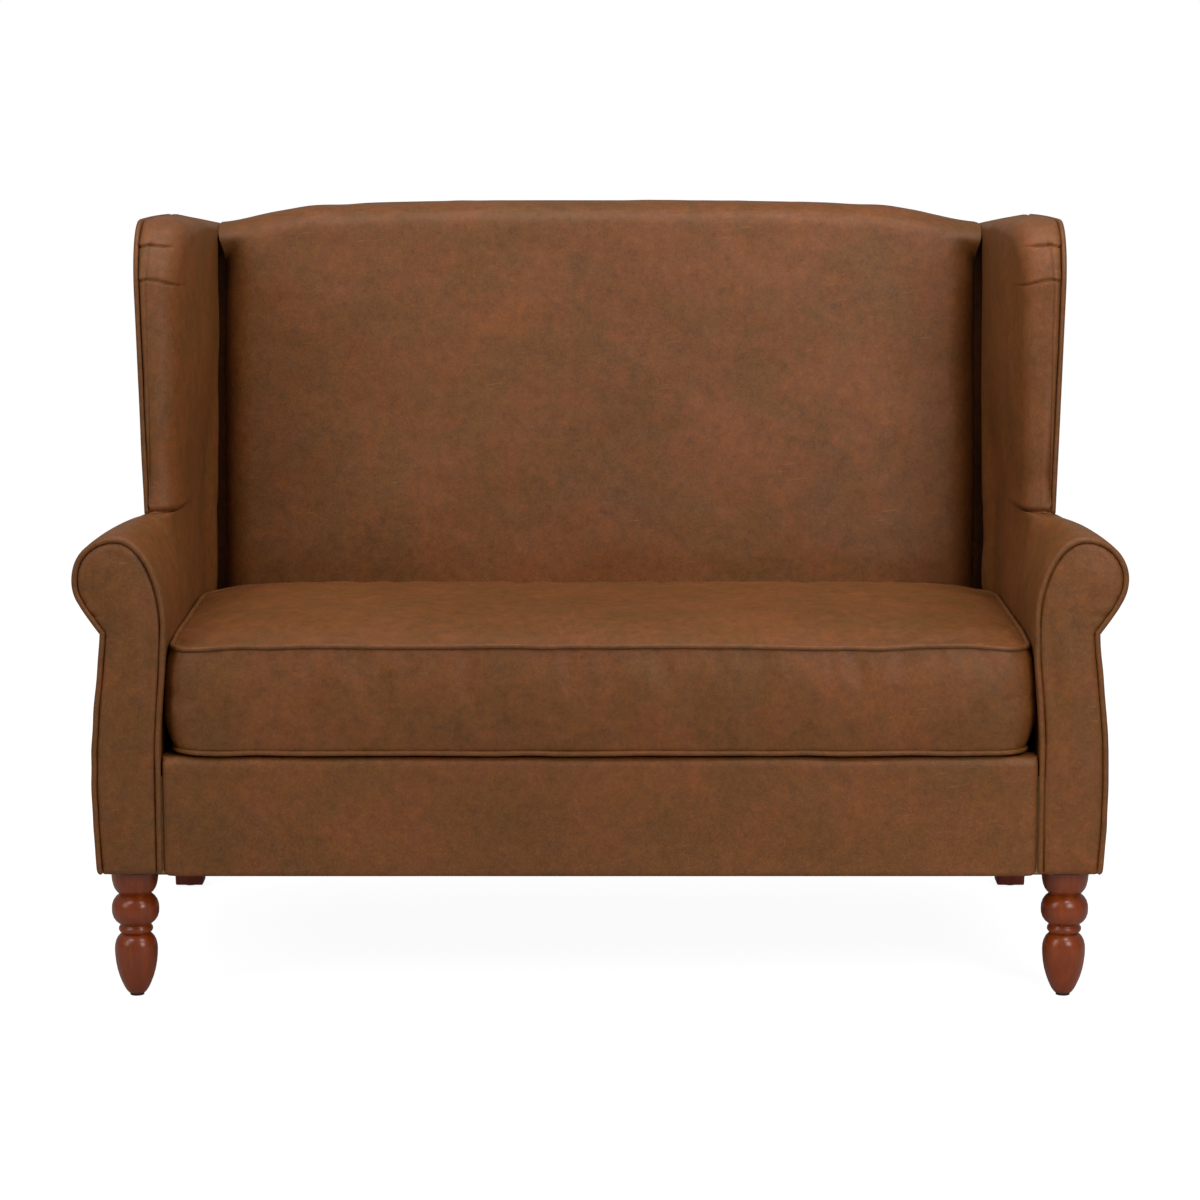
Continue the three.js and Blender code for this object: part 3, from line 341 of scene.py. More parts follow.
def creased_run(front, z, along):
    last = lerp(inner_rear(z), panel_rear(z), corner_closed(z))
    ends = (front, crease(z) - CREASE_EASE, crease(z), crease(z) + RECESS, last)
    y = front + 0 * along
    for i, (low, high) in enumerate(zip(CREASE_SHARES, CREASE_SHARES[1:])):
        y = y + (ends[i + 1] - ends[i]) * np.clip((along - low) / (high - low), 0, 1)
    return y


# Mesh building

def lattice(indices):
    """Four-sided faces between the rows of a table of point numbers."""
    a, b, c, d = indices[:-1, :-1], indices[:-1, 1:], indices[1:, 1:], indices[1:, :-1]
    return np.stack([a, b, c, d], axis=-1).reshape(-1, 4)


def facing_out(points, quads, caps):
    """Turns the faces over if the form that they close is inside out."""
    centre = points.mean(axis=0)
    a, b, c, d = (points[quads[:, i]] - centre for i in range(4))
    total = (a * np.cross(b, c)).sum() + (a * np.cross(c, d)).sum()
    for cap in caps:
        p = points[cap] - centre
        total += (p[0] * np.cross(p[1:-1], p[2:])).sum()
    if total > 0:
        return quads, caps
    return quads[:, ::-1], [cap[::-1] for cap in caps]


def ring_faces(numbers):
    """Four-sided faces between rings of point numbers, which close round on themselves."""
    return lattice(np.concatenate([numbers, numbers[:, :1]], axis=1))


def edge_loop(table):
    """Numbers of the points round a table of points."""
    numbers = np.arange(table.shape[0] * table.shape[1]).reshape(table.shape[:2])
    return np.concatenate([numbers[0, :-1], numbers[:-1, -1], numbers[-1, :0:-1], numbers[:0:-1, 0]])


def both_edges(front, back):
    """Numbers of the points round two tables of points, and those points on both."""
    loop = edge_loop(front)
    return loop, front.reshape(-1, 3)[loop], back.reshape(-1, 3)[loop]


def outline_normals(flat):
    """Unit normals of a closed outline in a plane."""
    tangent = np.roll(flat, -1, axis=0) - np.roll(flat, 1, axis=0)
    normals = np.stack([-tangent[:, 1], tangent[:, 0]], axis=1)
    return normals / np.maximum(np.linalg.norm(normals, axis=1, keepdims=True), 1e-9)


def slab(front, back, rims=()):
    """A closed sheet from two tables of points, with rings of points between their edges."""
    count = front.shape[0] * front.shape[1]
    near = np.arange(count).reshape(front.shape[:2])
    loop = edge_loop(front)
    between = [2 * count + i * len(loop) + np.arange(len(loop)) for i in range(len(rims))]
    rings = np.array([loop, *between, loop + count])
    quads = np.concatenate([lattice(near), lattice(near + count)[:, ::-1], ring_faces(rings)[:, ::-1]])
    points = np.concatenate([front.reshape(-1, 3), back.reshape(-1, 3), *rims])
    return points, *facing_out(points, quads, [])


def loft(rings):
    """A closed form from rings of points."""
    rings = np.asarray(rings, float)
    numbers = np.arange(rings.shape[0] * rings.shape[1]).reshape(rings.shape[:2])
    points = rings.reshape(-1, 3)
    return points, *facing_out(points, ring_faces(numbers)[:, ::-1], [numbers[0], numbers[-1][::-1]])


def sweep(path, radius, sides=12, closed=False):
    """A round cord along a path of points."""
    path = np.asarray(path, float)
    if closed:
        tangents = np.roll(path, -1, axis=0) - np.roll(path, 1, axis=0)
    else:
        tangents = np.gradient(path, axis=0)
    tangents /= np.linalg.norm(tangents, axis=1, keepdims=True)
    any_direction = (0.31, 0.47, 0.83)
    normal = np.cross(tangents[0], any_direction)
    rings = []
    radii = np.broadcast_to(radius, len(path))
    for place, tangent, reach in zip(path, tangents, radii):
        normal = normal - tangent * (normal @ tangent)
        normal /= np.linalg.norm(normal)
        other = np.cross(tangent, normal)
        angles = np.linspace(0, 2 * math.pi, sides, endpoint=False)[:, None]
        rings.append(place + reach * (np.cos(angles) * normal + np.sin(angles) * other))
    if not closed:
        return loft(rings)
    rings = np.array(rings)
    numbers = np.arange(rings.shape[0] * sides).reshape(-1, sides)
    # The last ring is joined to the first one turned so that the cord doesn't twist
    gaps = [np.linalg.norm(rings[-1] - np.roll(rings[0], turn, axis=0), axis=1).sum() for turn in range(sides)]
    numbers = np.concatenate([numbers, np.roll(numbers[:1], int(np.argmin(gaps)), axis=1)])
    points = rings.reshape(-1, 3)
    return points, *facing_out(points, ring_faces(numbers), [])


def resample(path, step, closed=False):
    """Points at even steps along a path."""
    path = np.asarray(path, float)
    if closed:
        path = np.concatenate([path, path[:1]])
    lengths = np.append(0, np.cumsum(np.linalg.norm(np.diff(path, axis=0), axis=1)))
    count = max(2, round(lengths[-1] / step))
    places = np.linspace(0, lengths[-1], count + 1)
    if closed:
        places = places[:-1]
    return np.stack([np.interp(places, lengths, path[:, i]) for i in range(3)], axis=1)


def normals_of(points, quads):
    a, b, c, d = (points[quads[:, i]] for i in range(4))
    across = np.cross(c - a, d - b)
    normals = np.zeros_like(points)
    for i in range(4):
        np.add.at(normals, quads[:, i], across)
    return normals / np.maximum(np.linalg.norm(normals, axis=1, keepdims=True), 1e-9)


def lifted(form, lift):
    """Moves each point of a form along its normal by lift(points, normals)."""
    points, quads, caps = form
    normals = normals_of(points, quads)
    return points + normals * lift(points, normals)[:, None], quads, caps


def uneven(form, height, size, seed):
    """A form with smooth unevenness on all of its surface."""
    return lifted(form, lambda points, normals: height * ripple(points, size, seed))


# Materials

def srgb(red, green, blue, share=1):
    """Linear colour of an sRGB one, with a share of its light."""
    levels = [v / 255 for v in (red, green, blue)]
    linear = [((v + 0.055) / 1.055) ** 2.4 if v > 0.04045 else v / 12.92 for v in levels]
    return tuple(share * v for v in linear) + (1,)


class Look:
    """A node material, with short ways to add the nodes that most looks need."""

    def __init__(self, name, **sockets):
        self.material = bpy.data.materials.new(name)
        self.material.use_nodes = True
        self.tree = self.material.node_tree
        self.tree.nodes.clear()
        self.output = self.tree.nodes.new("ShaderNodeOutputMaterial")
        self.surface = self.tree.nodes.new("ShaderNodeBsdfPrincipled")
        self.tree.links.new(self.surface.outputs[0], self.output.inputs[0])
        self.place = self.tree.nodes.new("ShaderNodeTexCoord").outputs["Object"]
        self.fill(self.surface, sockets)

    def fill(self, node, sockets):
        """Links or sets sockets, which are named by their number or by their name with underscores."""
        for name, value in sockets.items():
            socket = node.inputs[name if isinstance(name, int) else name.replace("_", " ")]
            if isinstance(value, bpy.types.NodeSocket):
                self.tree.links.new(value, socket)
            else:
                socket.default_value = value

    def add(self, kind, settings=None, **sockets):
        node = self.tree.nodes.new("ShaderNode" + kind)
        for name, value in (settings or {}).items():
            setattr(node, name, value)
        self.fill(node, sockets)
        return node

    def mapped(self, vector=None, **sockets):
        return self.add("Mapping", Vector=vector or self.place, **sockets).outputs[0]

    def noise(self, scale, detail=2.0, roughness=0.5, distortion=0.0, vector=None):
        node = self.add("TexNoise", Vector=vector or self.place, Scale=scale, Detail=detail,
                        Roughness=roughness, Distortion=distortion)
        return node.outputs[0]

    def cells(self, scale, feature="DISTANCE_TO_EDGE", vector=None):
        node = self.add("TexVoronoi", {"feature": feature}, Vector=vector or self.place, Scale=scale)
        return node.outputs["Distance"]

    def ramp(self, value, *stops):
        """Turns a value into a grey or a colour; each stop is a position and what it gives."""
        node = self.add("ValToRGB", Fac=value)
        colours = node.color_ramp.elements
        for element, (position, colour) in zip(colours, stops, strict=True):
            element.position = position
            element.color = colour if isinstance(colour, tuple) else (colour, colour, colour, 1)
        return node.outputs[0]

    def mix(self, share, first, second, blend="MIX"):
        node = self.add("Mix", {"data_type": "RGBA", "blend_type": blend})
        self.fill(node, {0: share, 6: first, 7: second})
        return node.outputs[2]

    def shade(self, base, value, *stops):
        """Multiplies a colour by a ramp."""
        return self.mix(1.0, base, self.ramp(value, *stops), "MULTIPLY")

    def combine(self, operation, first, second):
        node = self.add("Math", {"operation": operation})
        self.fill(node, {0: first, 1: second})
        return node.outputs[0]

    def bump(self, height, strength, distance, normal=None):
        node = self.add("Bump", Height=height, Strength=strength, Distance=distance)
        if normal:
            self.tree.links.new(normal, node.inputs["Normal"])
        return node.outputs[0]

    def finish(self, **sockets):
        self.fill(self.surface, sockets)
        return self.material


WARMER = (1.05, 1.0, 0.62, 1)
COOLER = (0.95, 1.0, 1.38, 1)
SCRATCH = (150, 102, 62)
STROKES = (9, 150, 150)


def leather_look(name, olive, red, rust, wear=0.4):
    """Waxed leather: rust and olive patches, fine grain, and a few light scratches."""
    look = Look(name)
    patches = look.noise(9, 8, 0.66, 0.5)
    clouds = look.noise(2.3, 3, 0.5)
    spots = look.noise(27, 6, 0.7, 0.3)
    flecks = look.noise(300, 4, 0.75)
    base = look.mix(look.ramp(patches, (0.41, 0.0), (0.59, 1.0)), srgb(*olive), srgb(*red))
    base = look.mix(look.ramp(spots, (0.53, 0.0), (0.72, 0.65)), base, srgb(*rust))
    base = look.shade(base, clouds, (0.3, 0.88), (0.7, 1.1))
    base = look.shade(base, flecks, (0.25, 0.82), (0.75, 1.16))
    base = look.shade(base, look.noise(48, 4, 1.0), (0.3, 0.72), (0.7, 1.28))
    turned = look.mapped(Rotation=(1.1, 0.7, 0.3))
    base = look.shade(base, look.noise(26, 5, 1.0, 0.0, turned), (0.3, WARMER), (0.7, COOLER))
    strokes = []
    for roll_angle, tilt in ((0.3, 0.12), (1.7, 1.05)):
        long = look.mapped(look.mapped(Rotation=(roll_angle, tilt, 0)), Scale=STROKES)
        strokes.append(look.ramp(look.cells(1.0, "F1", long), (0.05, 1.0), (0.15, 0.0)))
    where = look.ramp(look.noise(15, 1), (0.55, 0.0), (0.62, 1.0))
    either = look.combine("MAXIMUM", *strokes)
    scratched = look.combine("MULTIPLY", either, look.combine("MULTIPLY", where, wear))
    base = look.mix(scratched, base, srgb(*SCRATCH))
    grain = look.ramp(look.cells(430), (0.0, 0.0), (0.16, 1.0))
    creases = look.noise(70, 4, 0.6)
    pores = look.noise(900, 2, 0.6)
    normal = look.bump(creases, 0.16, 0.002)
    normal = look.bump(grain, 0.3, 0.0004, normal)
    normal = look.bump(pores, 0.2, 0.0003, normal)
    normal = look.bump(scratched, 0.4, 0.0006, normal)
    rough = look.ramp(look.noise(16, 4, 0.6), (0.3, 0.44), (0.7, 0.56))
    return look.finish(Base_Color=base, Roughness=rough, Normal=normal, Specular_IOR_Level=0.3)


def wood_look(name, dark, light, grain, gloss, coat=0.0):
    """Polished wood, its grain long in the direction where the scale is low."""
    look = Look(name)
    along = look.mapped(Scale=grain)
    rings = look.noise(1.0, 5, 0.6, 1.2, along)
    fibres = look.noise(6.0, 4, 0.7, 0.2, along)
    base = look.mix(look.ramp(rings, (0.3, 0.0), (0.7, 1.0)), srgb(*dark), srgb(*light))
    base = look.shade(base, fibres, (0.3, 0.84), (0.7, 1.1))
    rough = look.ramp(fibres, (0.2, gloss * 0.85), (0.8, gloss * 1.2))
    normal = look.bump(fibres, 0.12, 0.0006)
    return look.finish(Base_Color=base, Roughness=rough, Normal=normal, Specular_IOR_Level=0.3,
                       Coat_Weight=coat, Coat_Roughness=0.2)


def cloth_look(name, colour, pitch):
    """A plain weave of two crossing sets of yarn, with painted shade where it sinks between them."""
    look = Look(name)
    sets = []
    for axis in "XY":
        wave = look.add("TexWave", {"wave_type": "BANDS", "bands_direction": axis},
                        Vector=look.place, Scale=1 / pitch / 3.2, Distortion=0.4)
        sets.append(wave.outputs["Fac"])
    weave = look.combine("MULTIPLY", *sets)
    # Darker where the weave sinks between the yarns: painted shade in the gaps.
    base = look.mix(weave, srgb(*colour, share=0.55), srgb(*colour))
    base = look.shade(base, look.noise(30, 4), (0.3, 0.85), (0.7, 1.12))
    normal = look.bump(weave, 0.5, pitch * 0.3)
    return look.finish(Base_Color=base, Roughness=0.9, Normal=normal, Specular_IOR_Level=0.2)


def metal_look(name, colour, rough):
    look = Look(name, Metallic=1.0)
    streaks = look.noise(90, 4, 0.7, 0.3)
    base = look.mix(look.ramp(streaks, (0.3, 0.0), (0.7, 1.0)), srgb(*colour, share=0.7), srgb(*colour))
    rough = look.ramp(streaks, (0.3, rough * 0.8), (0.7, rough * 1.3))
    return look.finish(Base_Color=base, Roughness=rough, Normal=look.bump(streaks, 0.1, 0.0003))


def foam_look(name, colour):
    look = Look(name)
    holes_and_pore_shade = look.cells(700, "F1")
    # The pores are painted darker at their middles: painted shade in the pits.
    base = look.mix(look.ramp(holes_and_pore_shade, (0.1, 0.0), (0.5, 1.0)), srgb(*colour, share=0.7), srgb(*colour))
    base = look.shade(base, look.noise(12, 3), (0.3, 0.92), (0.7, 1.06))
    return look.finish(Base_Color=base, Roughness=0.95, Normal=look.bump(holes_and_pore_shade, 0.6, 0.001))


def plastic_look(name, dark, light):
    look = Look(name, Roughness=0.45)
    base = look.mix(look.noise(60, 3), srgb(*dark), srgb(*light))
    return look.finish(Base_Color=base, Normal=look.bump(look.noise(400, 3), 0.15, 0.0003))


UPRIGHT_LEG = (30, 30, 3)
UPRIGHT = (40, 40, 3)
ACROSS = (3, 40, 40)
BEECH = ((188, 148, 100), (212, 174, 126))
leather = leather_look("leather", (107, 66, 27), (116, 67, 30), (127, 69, 32))
welt_leather = leather_look("welt_leather", (106, 65, 27), (112, 66, 30), (119, 67, 32), 0.15)
mahogany = wood_look("mahogany", (116, 46, 8), (146, 62, 14), UPRIGHT_LEG, 0.3, 0.35)
dark_wood = wood_look("dark_wood", (104, 40, 28), (126, 52, 35), UPRIGHT, 0.45, 0.1)
beech = wood_look("beech", *BEECH, ACROSS, 0.6)
beech_upright = wood_look("beech_upright", *BEECH, UPRIGHT, 0.6)
foam = foam_look("foam", (230, 220, 184))
webbing = cloth_look("webbing", (58, 54, 50), 0.0025)
platform = cloth_look("platform_cloth", (92, 66, 46), 0.0016)
dust_cloth = cloth_look("dust_cloth", (38, 37, 38), 0.0014)
zip_tape = cloth_look("zip_tape", (62, 44, 34), 0.001)
brass = metal_look("brass", (176, 142, 84), 0.35)
steel = metal_look("steel", (150, 152, 156), 0.4)
nylon = plastic_look("nylon", (38, 32, 28), (50, 43, 38))


# Pieces

HANDS = ("", "right_", "left_")


def new_mesh(name, places, faces):
    mesh = bpy.data.meshes.new(name)
    mesh.from_pydata(places, [], faces)
    return mesh


def placed(name, data):
    obj = bpy.data.objects.new(name, data)
    scene.collection.objects.link(obj)
    return obj


def dressed(name, mesh, look, body, crisp):
    """An object from a mesh, with its material and body. Edges over crisp degrees stay sharp."""
    mesh.shade_smooth()
    if crisp:
        mesh.set_sharp_from_angle(angle=math.radians(crisp))
    mesh.materials.append(look)
    obj = placed(name, mesh)
    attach(obj, body)
    return obj


def piece(name, form, node=None, side=0, crisp=None, look=leather, body="settee"):
    """An object from a form in the drawing frame, for a CAD node. Side -1 is a right piece's mirrored twin."""
    hand = HANDS[side]
    points, quads, caps = form
    places = (points * (side or 1, 1, 1) + (0, SHIFT, 0)) / METRE
    faces = quads.tolist() + [list(map(int, cap)) for cap in caps]
    if side < 0:
        faces = [face[::-1] for face in faces]
    mesh = new_mesh(hand + name, places.tolist(), faces)
    obj = dressed(hand + name, mesh, look, body, crisp)
    if node:
        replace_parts(obj, hand + node)
    return obj


# Wings

WING_FLAP = 30
FLAP_DIVE = 3
FLAP_DIVE_RUN = 8
FLAP_THICKNESS = 7
WING_EDGE_SWELL = (4.0, 0.6)
WING_EDGE_FALL = 7.0
WING_EDGE_ROUND = 10
HIDDEN_SIDE_FALL = 3.5
HIDDEN_SIDE_ROUND = 20
WING_FACE_RUN = 110
TUCK = 3.5
PUFF = 2.6
PLEAT_PROUD = 26
PLEAT_FOOT = 14
PLEAT_GROOVE = 1.9
PLEATS = (
    # three points across the nose, from inside to outside, in x and z; then the depth of the fold
    ((603, 645, 664), (1035, 1040, 1036), 3.3),
    ((588, 640, 664), (976, 992.5, 989), 2.8),
)
PANEL_EDGE_ROUND = 7


def fold_lift(points, xs, zs, depth):
    """Height of a fold: it stands proud above its line, falls steeply into it and eases off along it."""
    off = points[:, 2] - np.interp(points[:, 0], xs, zs)
    along = np.clip((xs[-1] - points[:, 0]) / (xs[-1] - xs[0]), 0, 1)
    reach = 1 - ease((along - 0.55) / 0.45)
    proud = np.where(off > 0, np.exp(-off / PLEAT_PROUD), 0) * ease(off / 1.6)
    below = np.where(off <= 0, np.exp(off / PLEAT_FOOT), 0)
    return depth * reach * (0.9 * proud - hill(off, PLEAT_GROOVE) + 0.25 * below)


def wing_lines(start, count, *runs):
    """Rows or columns of a wing's lattice: even up to its corner, and beyond it in runs of their own pace."""
    beyond = [WING_CORNER * (1 + np.linspace(low, high, number)[1:]) for low, high, number in runs]
    return np.concatenate([np.linspace(start, WING_CORNER, count), *beyond])


def inside_wing(side):
    rows = wing_lines(0, 66, (0, 0.08, 14), (0.08, 0.9, 40), (0.9, 1, 16), (1, 2, 12))
    columns = wing_lines(0, 44, (0, 0.5, 14), (0.5, 0.8, 12), (0.8, 0.9, 5), (0.9, 1, 5))
    row, column = grid(rows, columns)
    y, z = wing_spot(column, row, ARM_HEIGHT - WING_FLAP, creased_run)
    from_top = 1 - np.minimum(row / WING_CORNER, 1)
    inward = ease((y - wing_front(z)) / (crease(z) - wing_front(z)))
    sink = TOP_SINK * ease((y - SINK_START) / SINK_RUN) * from_top
    width = lerp(NOSE_ROUND, VALLEY_ROUND, inward)
    inside = wing_inside(y, z) + width * roll(np.minimum(column, row) / width, 1)
    outside = wing_outside(y, z) - PANEL - FIT
    # Below the arm's top the pad is a thin flap that runs down over the arm and dives into it
    below = np.clip((ARM_HEIGHT - z) / WING_FLAP, 0, 1)
    allowed = 0.05 + 0.95 * ease((y - wing_front(ARM_HEIGHT) - 18) / 90)
    z = z + below * WING_FLAP * (1 - allowed)
    inside = inside + FLAP_DIVE * ease(below * WING_FLAP * allowed / FLAP_DIVE_RUN)
    outside = np.where(below > 0, inside + FLAP_THICKNESS, outside)
    front = points_at(inside, y - sink * math.tan(REAR_RAKE), z - sink)
    back = points_at(outside, y, z)
    loop, ends, other = both_edges(front, back)
    # The rim swells along the top and the front, and falls to the welt at its outer end
    outward = outline_normals(other[:, 1:])
    row_there, column_there = row.ravel()[loop], column.ravel()[loop]
    at_top = row_there == 0
    at_front = (column_there == 0) & (row_there <= 1.96 * WING_CORNER)
    outward[at_top & (outward[:, 1] < 0)] *= -1
    outward[at_front & (outward[:, 0] > 0)] *= -1
    outward[at_top & (column_there > 1.6 * WING_CORNER)] = (0, 1)
    shaped = (at_top | at_front).astype(float)
    swelling = lerp(*WING_EDGE_SWELL, np.where(at_top, np.minimum(column_there / WING_CORNER, 1), 0))
    rims = []
    for share in np.linspace(0, 1, 22)[1:]:
        rim = lerp(ends, other, share)
        reach = np.abs(other[:, 0] - ends[:, 0]) * (1 - share)
        swell = swelling * ease(share * 2.2) * ease((1 - share) * 6)
        swell = swell - WING_EDGE_FALL * roll(reach, WING_EDGE_ROUND)
        rim[:, 1:] += outward * (swell * shaped)[:, None]
        rims.append(rim)
    back[..., 1] += HIDDEN_SIDE_FALL * (1 - np.clip(column / HIDDEN_SIDE_ROUND, 0, 1)) * (below <= 0)
    back[..., 2] -= HIDDEN_SIDE_FALL * (1 - np.clip(row / HIDDEN_SIDE_ROUND, 0, 1))

    def lift(points, normals):
        y, z = points[:, 1], points[:, 2]
        from_front = y - wing_front(z)
        above = z - ARM_HEIGHT + 1
        shown = np.clip((panel_rear(z) - y) / 40, 0, 1) * (points[:, 0] < wing_outside(y, z) - PANEL - 1)
        soft = 0.9 * ripple(points * (1, 1, 0.7), 120, 5 + side) * ease((z - ARM_HEIGHT - 6) / 50)
        folds = ease(1 - from_front / WING_FACE_RUN) * sum(fold_lift(points, *pleat) for pleat in PLEATS)
        tuck = -TUCK * hill(above, 5) * ease(1 - (from_front - 25) / 50)
        puff = PUFF * ease(above / 9) * np.exp(-np.maximum(above - 12, 0) / 22)
        puff = puff * ease(1 - (from_front - 60) / 90)
        return shown * (soft + folds + tuck + puff)

    piece("wing_pad", lifted(slab(front, back, rims), lift), "inside_wing", side)


def outside_wing(side):
    rows = wing_lines(WELT, 16, (0, 1, 26), (1, 2, 14))
    row, column = grid(rows, wing_lines(WELT, 16, (0, 1, 26)))
    y, z = wing_spot(column, row, NECK + FIT, even_run)
    x = wing_outside(y, z)
    rim = least(column - WELT, row - WELT, 0.6 * (panel_rear(z) - y))
    swell = 2.2 * ease(rim / 60) - 3.0 * roll(rim, PANEL_EDGE_ROUND)
    front = points_at(x + swell, y, z)
    back = points_at(x - PANEL, y, z)
    form = uneven(slab(front, back), 0.6, 200, 31 + side)
    piece("outer_wing_panel", form, "outside_wing", side, crisp=50)
    upright = WING_CORNER * (1 + np.linspace(1, 0, 40))
    corner = np.linspace(WING_CORNER, WELT, 12)[1:]
    front_edge = [(WELT, row) for row in (*upright, *corner)]
    top_edge = [(column, WELT) for column in (*corner[::-1][1:], *upright[::-1])]
    spots = np.array(front_edge + top_edge)
    y, z = wing_spot(spots[:, 0], spots[:, 1], ARM_HEIGHT - WELT, even_run)
    line = resample(points_at(wing_outside(y, z) - WELT, y, z), 4)
    line = line + 0.35 * ripple(line, 55, 7)[:, None] * (0, 1, 0)
    piece("wing_welt", sweep(line, WELT), "outside_wing", side, look=welt_leather)


# Arms

ARM_EDGE_INSET = 3.0
ARM_EDGE_ROUND = 4
UNDER_WING_RUN = 60
UNDER_WING_FOOT = 570
FACING_INSET = 2 * WELT - 0.4
FACING_SEAM = 7.6
FACING_RISE = 6.6
FACING_ROUND = 10
FACING_CROWN = 4.2
FACING_CROWN_RUN = 46
FACING_CURL = 4
FACING_CURL_ROUND = 7
FACING_DENT = 2.4
FACING_DENT_HEIGHT = 480
FACING_FOLD_HEIGHT = 549
FACING_FOLD_LENGTH = 42
WELT_CURL = 4.5
WELT_CURL_ROUND = 9


def inside_arm(side):
    foot = RAIL_TOP + FIT
    start = 2 * WELT + FIT
    tail = WING_SETBACK + SCROLL_RUN_OUT
    depths = np.concatenate([
        start + np.array([0, 0.8, 2, 4]),
        np.linspace(start + 8, tail, 44),
        np.linspace(tail, float(inner_rear(RAIL_TOP)), 26)[1:],
    ])
    rings = []
    for y in depths:
        inset = ARM_EDGE_INSET * float(roll(y - start, ARM_EDGE_ROUND))
        outer = arm_outline(y, inset, foot, NECK + FIT)
        inner = arm_outline(y, ARM_PADDING, foot, NECK + FIT)
        rings.append(np.concatenate([outer, inner[::-1]]))
    sides = len(rings[0])
    is_outer = np.tile(np.arange(sides) < sides // 2, len(rings))

    def lift(points, normals):
        soft = 0.9 * ripple(points * (1, 0.6, 1), 110, 11 + side)
        behind = ease((points[:, 1] - WING_SETBACK + 40) / UNDER_WING_RUN)
        below_wing = behind * ease((points[:, 2] - UNDER_WING_FOOT) / UNDER_WING_RUN)
        return np.where(is_outer, soft * ease((points[:, 1] - start) / 25) * (1 - below_wing), 0)

    piece("arm_pad", lifted(loft(rings), lift), "inside_arm", side, crisp=55)


def arm_facing(side):
    line = front_outline(FACING_INSET, UNDERSIDE)
    peak = int(np.argmax(line[:, 2]))
    left, right = line[:peak + 1], line[peak:][::-1]
    centre = ARM_HEIGHT - SCROLL_ROUND
    angles = np.linspace(0, math.pi / 2 - 0.03, 34)
    heights = np.concatenate([
        UNDERSIDE + np.array([0, 0.5, 1.5, 3, 5.5, 9]),
        np.linspace(UNDERSIDE + 14, centre, 92)[:-1],
        centre + (line[peak, 2] - centre) * np.sin(angles),
    ])
    curl = FACING_CURL * roll(heights - UNDERSIDE, FACING_CURL_ROUND)
    near = np.interp(heights, left[:, 2], left[:, 0]) + curl
    far = np.interp(heights, right[:, 2], right[:, 0]) - curl
    shares = (1 - np.cos(np.linspace(0, math.pi, 44))) / 2
    x = lerp(near[:, None], far[:, None], shares[None, :])
    z = np.repeat(heights[:, None], len(shares), axis=1)
    outline = resample(np.concatenate([line, line[:1]]), 1.5)
    spots = np.stack([x, z], axis=-1).reshape(-1, 1, 2)
    distance = np.concatenate([
        np.sqrt(((part - outline[None, :, ::2]) ** 2).sum(axis=-1)).min(axis=1)
        for part in np.array_split(spots, 12)
    ]).reshape(x.shape)
    y = FACING_SEAM - FACING_RISE * (1 - roll(distance, FACING_ROUND))
    y = y - FACING_CROWN * ease(distance / FACING_CROWN_RUN)
    front = points_at(x, y, z)
    back = points_at(x, FACING_SEAM + FIT, z)

    def lift(points, normals):
        x, z = points[:, 0], points[:, 2]
        from_inner = x - np.interp(z, left[:, 2], left[:, 0])
        from_outer = np.interp(z, right[:, 2], right[:, 0]) - x
        soft = 1.0 * ripple(points * (1, 1, 0.6), 95, 17 + side)
        dent = -FACING_DENT * hill(from_inner - 16, 7) * hill(z - FACING_DENT_HEIGHT, 60)
        above = z - FACING_FOLD_HEIGHT - 0.10 * from_outer
        fold = -2.6 * hill(above, 2.6) + 1.5 * hill(above - 9, 7)
        fold = fold * ease(1 - from_outer / FACING_FOLD_LENGTH) * ease(from_outer / 2)
        return (normals[:, 1] < -0.2) * (soft * ease(from_outer / 20) + dent + fold)

    piece("facing_pad", lifted(slab(front, back), lift), "arm_facing", side, crisp=60)
    path = front_outline(WELT, UNDERSIDE + 1)
    path[:, 1] = WELT
    path = resample(path, 2)
    inward = np.where(np.arange(len(path)) < len(path) / 2, 1, -1)
    path[:, 0] += WELT_CURL * inward * roll(path[:, 2] - UNDERSIDE, WELT_CURL_ROUND)
    path = path + 0.3 * ripple(path, 60, 19 + side)[:, None] * (1, 0.6, 0)
    radius = np.full(len(path), WELT)
    radius[[0, -1]] *= 0.55
    radius[[1, -2]] *= 0.92
    piece("facing_piping", sweep(path, radius), "facing_welt", side, look=welt_leather)


def outside_arm(side):
    columns = np.concatenate([np.linspace(0, 0.02, 6), np.linspace(0.02, 1, 46)[1:]])
    row, column = grid(np.linspace(0, 1, 60), columns)
    z = lerp(NECK - FIT, UNDERSIDE, row)
    y = lerp(2 * WELT + FIT, panel_rear(z), column)
    x = flank(y, z)
    from_edge = least(y - 2 * WELT, panel_rear(z) - y, NECK - z, z - UNDERSIDE)
    front = points_at(x - 2.6 * roll(from_edge, 6) + 1.5 * ease(from_edge / 80), y, z)
    back = points_at(x - PANEL, y, z)
    form = uneven(slab(front, back), 0.7, 180, 41 + side)
    piece("outer_arm_panel", form, "outside_arm", side, crisp=50)


# Back

ROLL_STEPS = np.array([0, 0.015, 0.06, 0.13, 0.22, 0.34, 0.48, 0.64, 0.82, 1])
MEETING_START = 985
MEETING_RUN = 66
BACK_SWELL = 3.0
BACK_SWELL_RUN = 160
CREST_RIM = (0.06, 0.14, 0.24, 0.36, 0.5, 0.62, 0.72, 0.8, 0.87, 0.93, 0.97, 1.0)
CREST_RIM_SWELL = 1.6
CREST_RIM_ROUND = 34
GUSSET_FOOT = 346
GUSSET_TOP = 1034
GUSSET_THICKNESS = 1.4
CREST_PIPING = 3.4


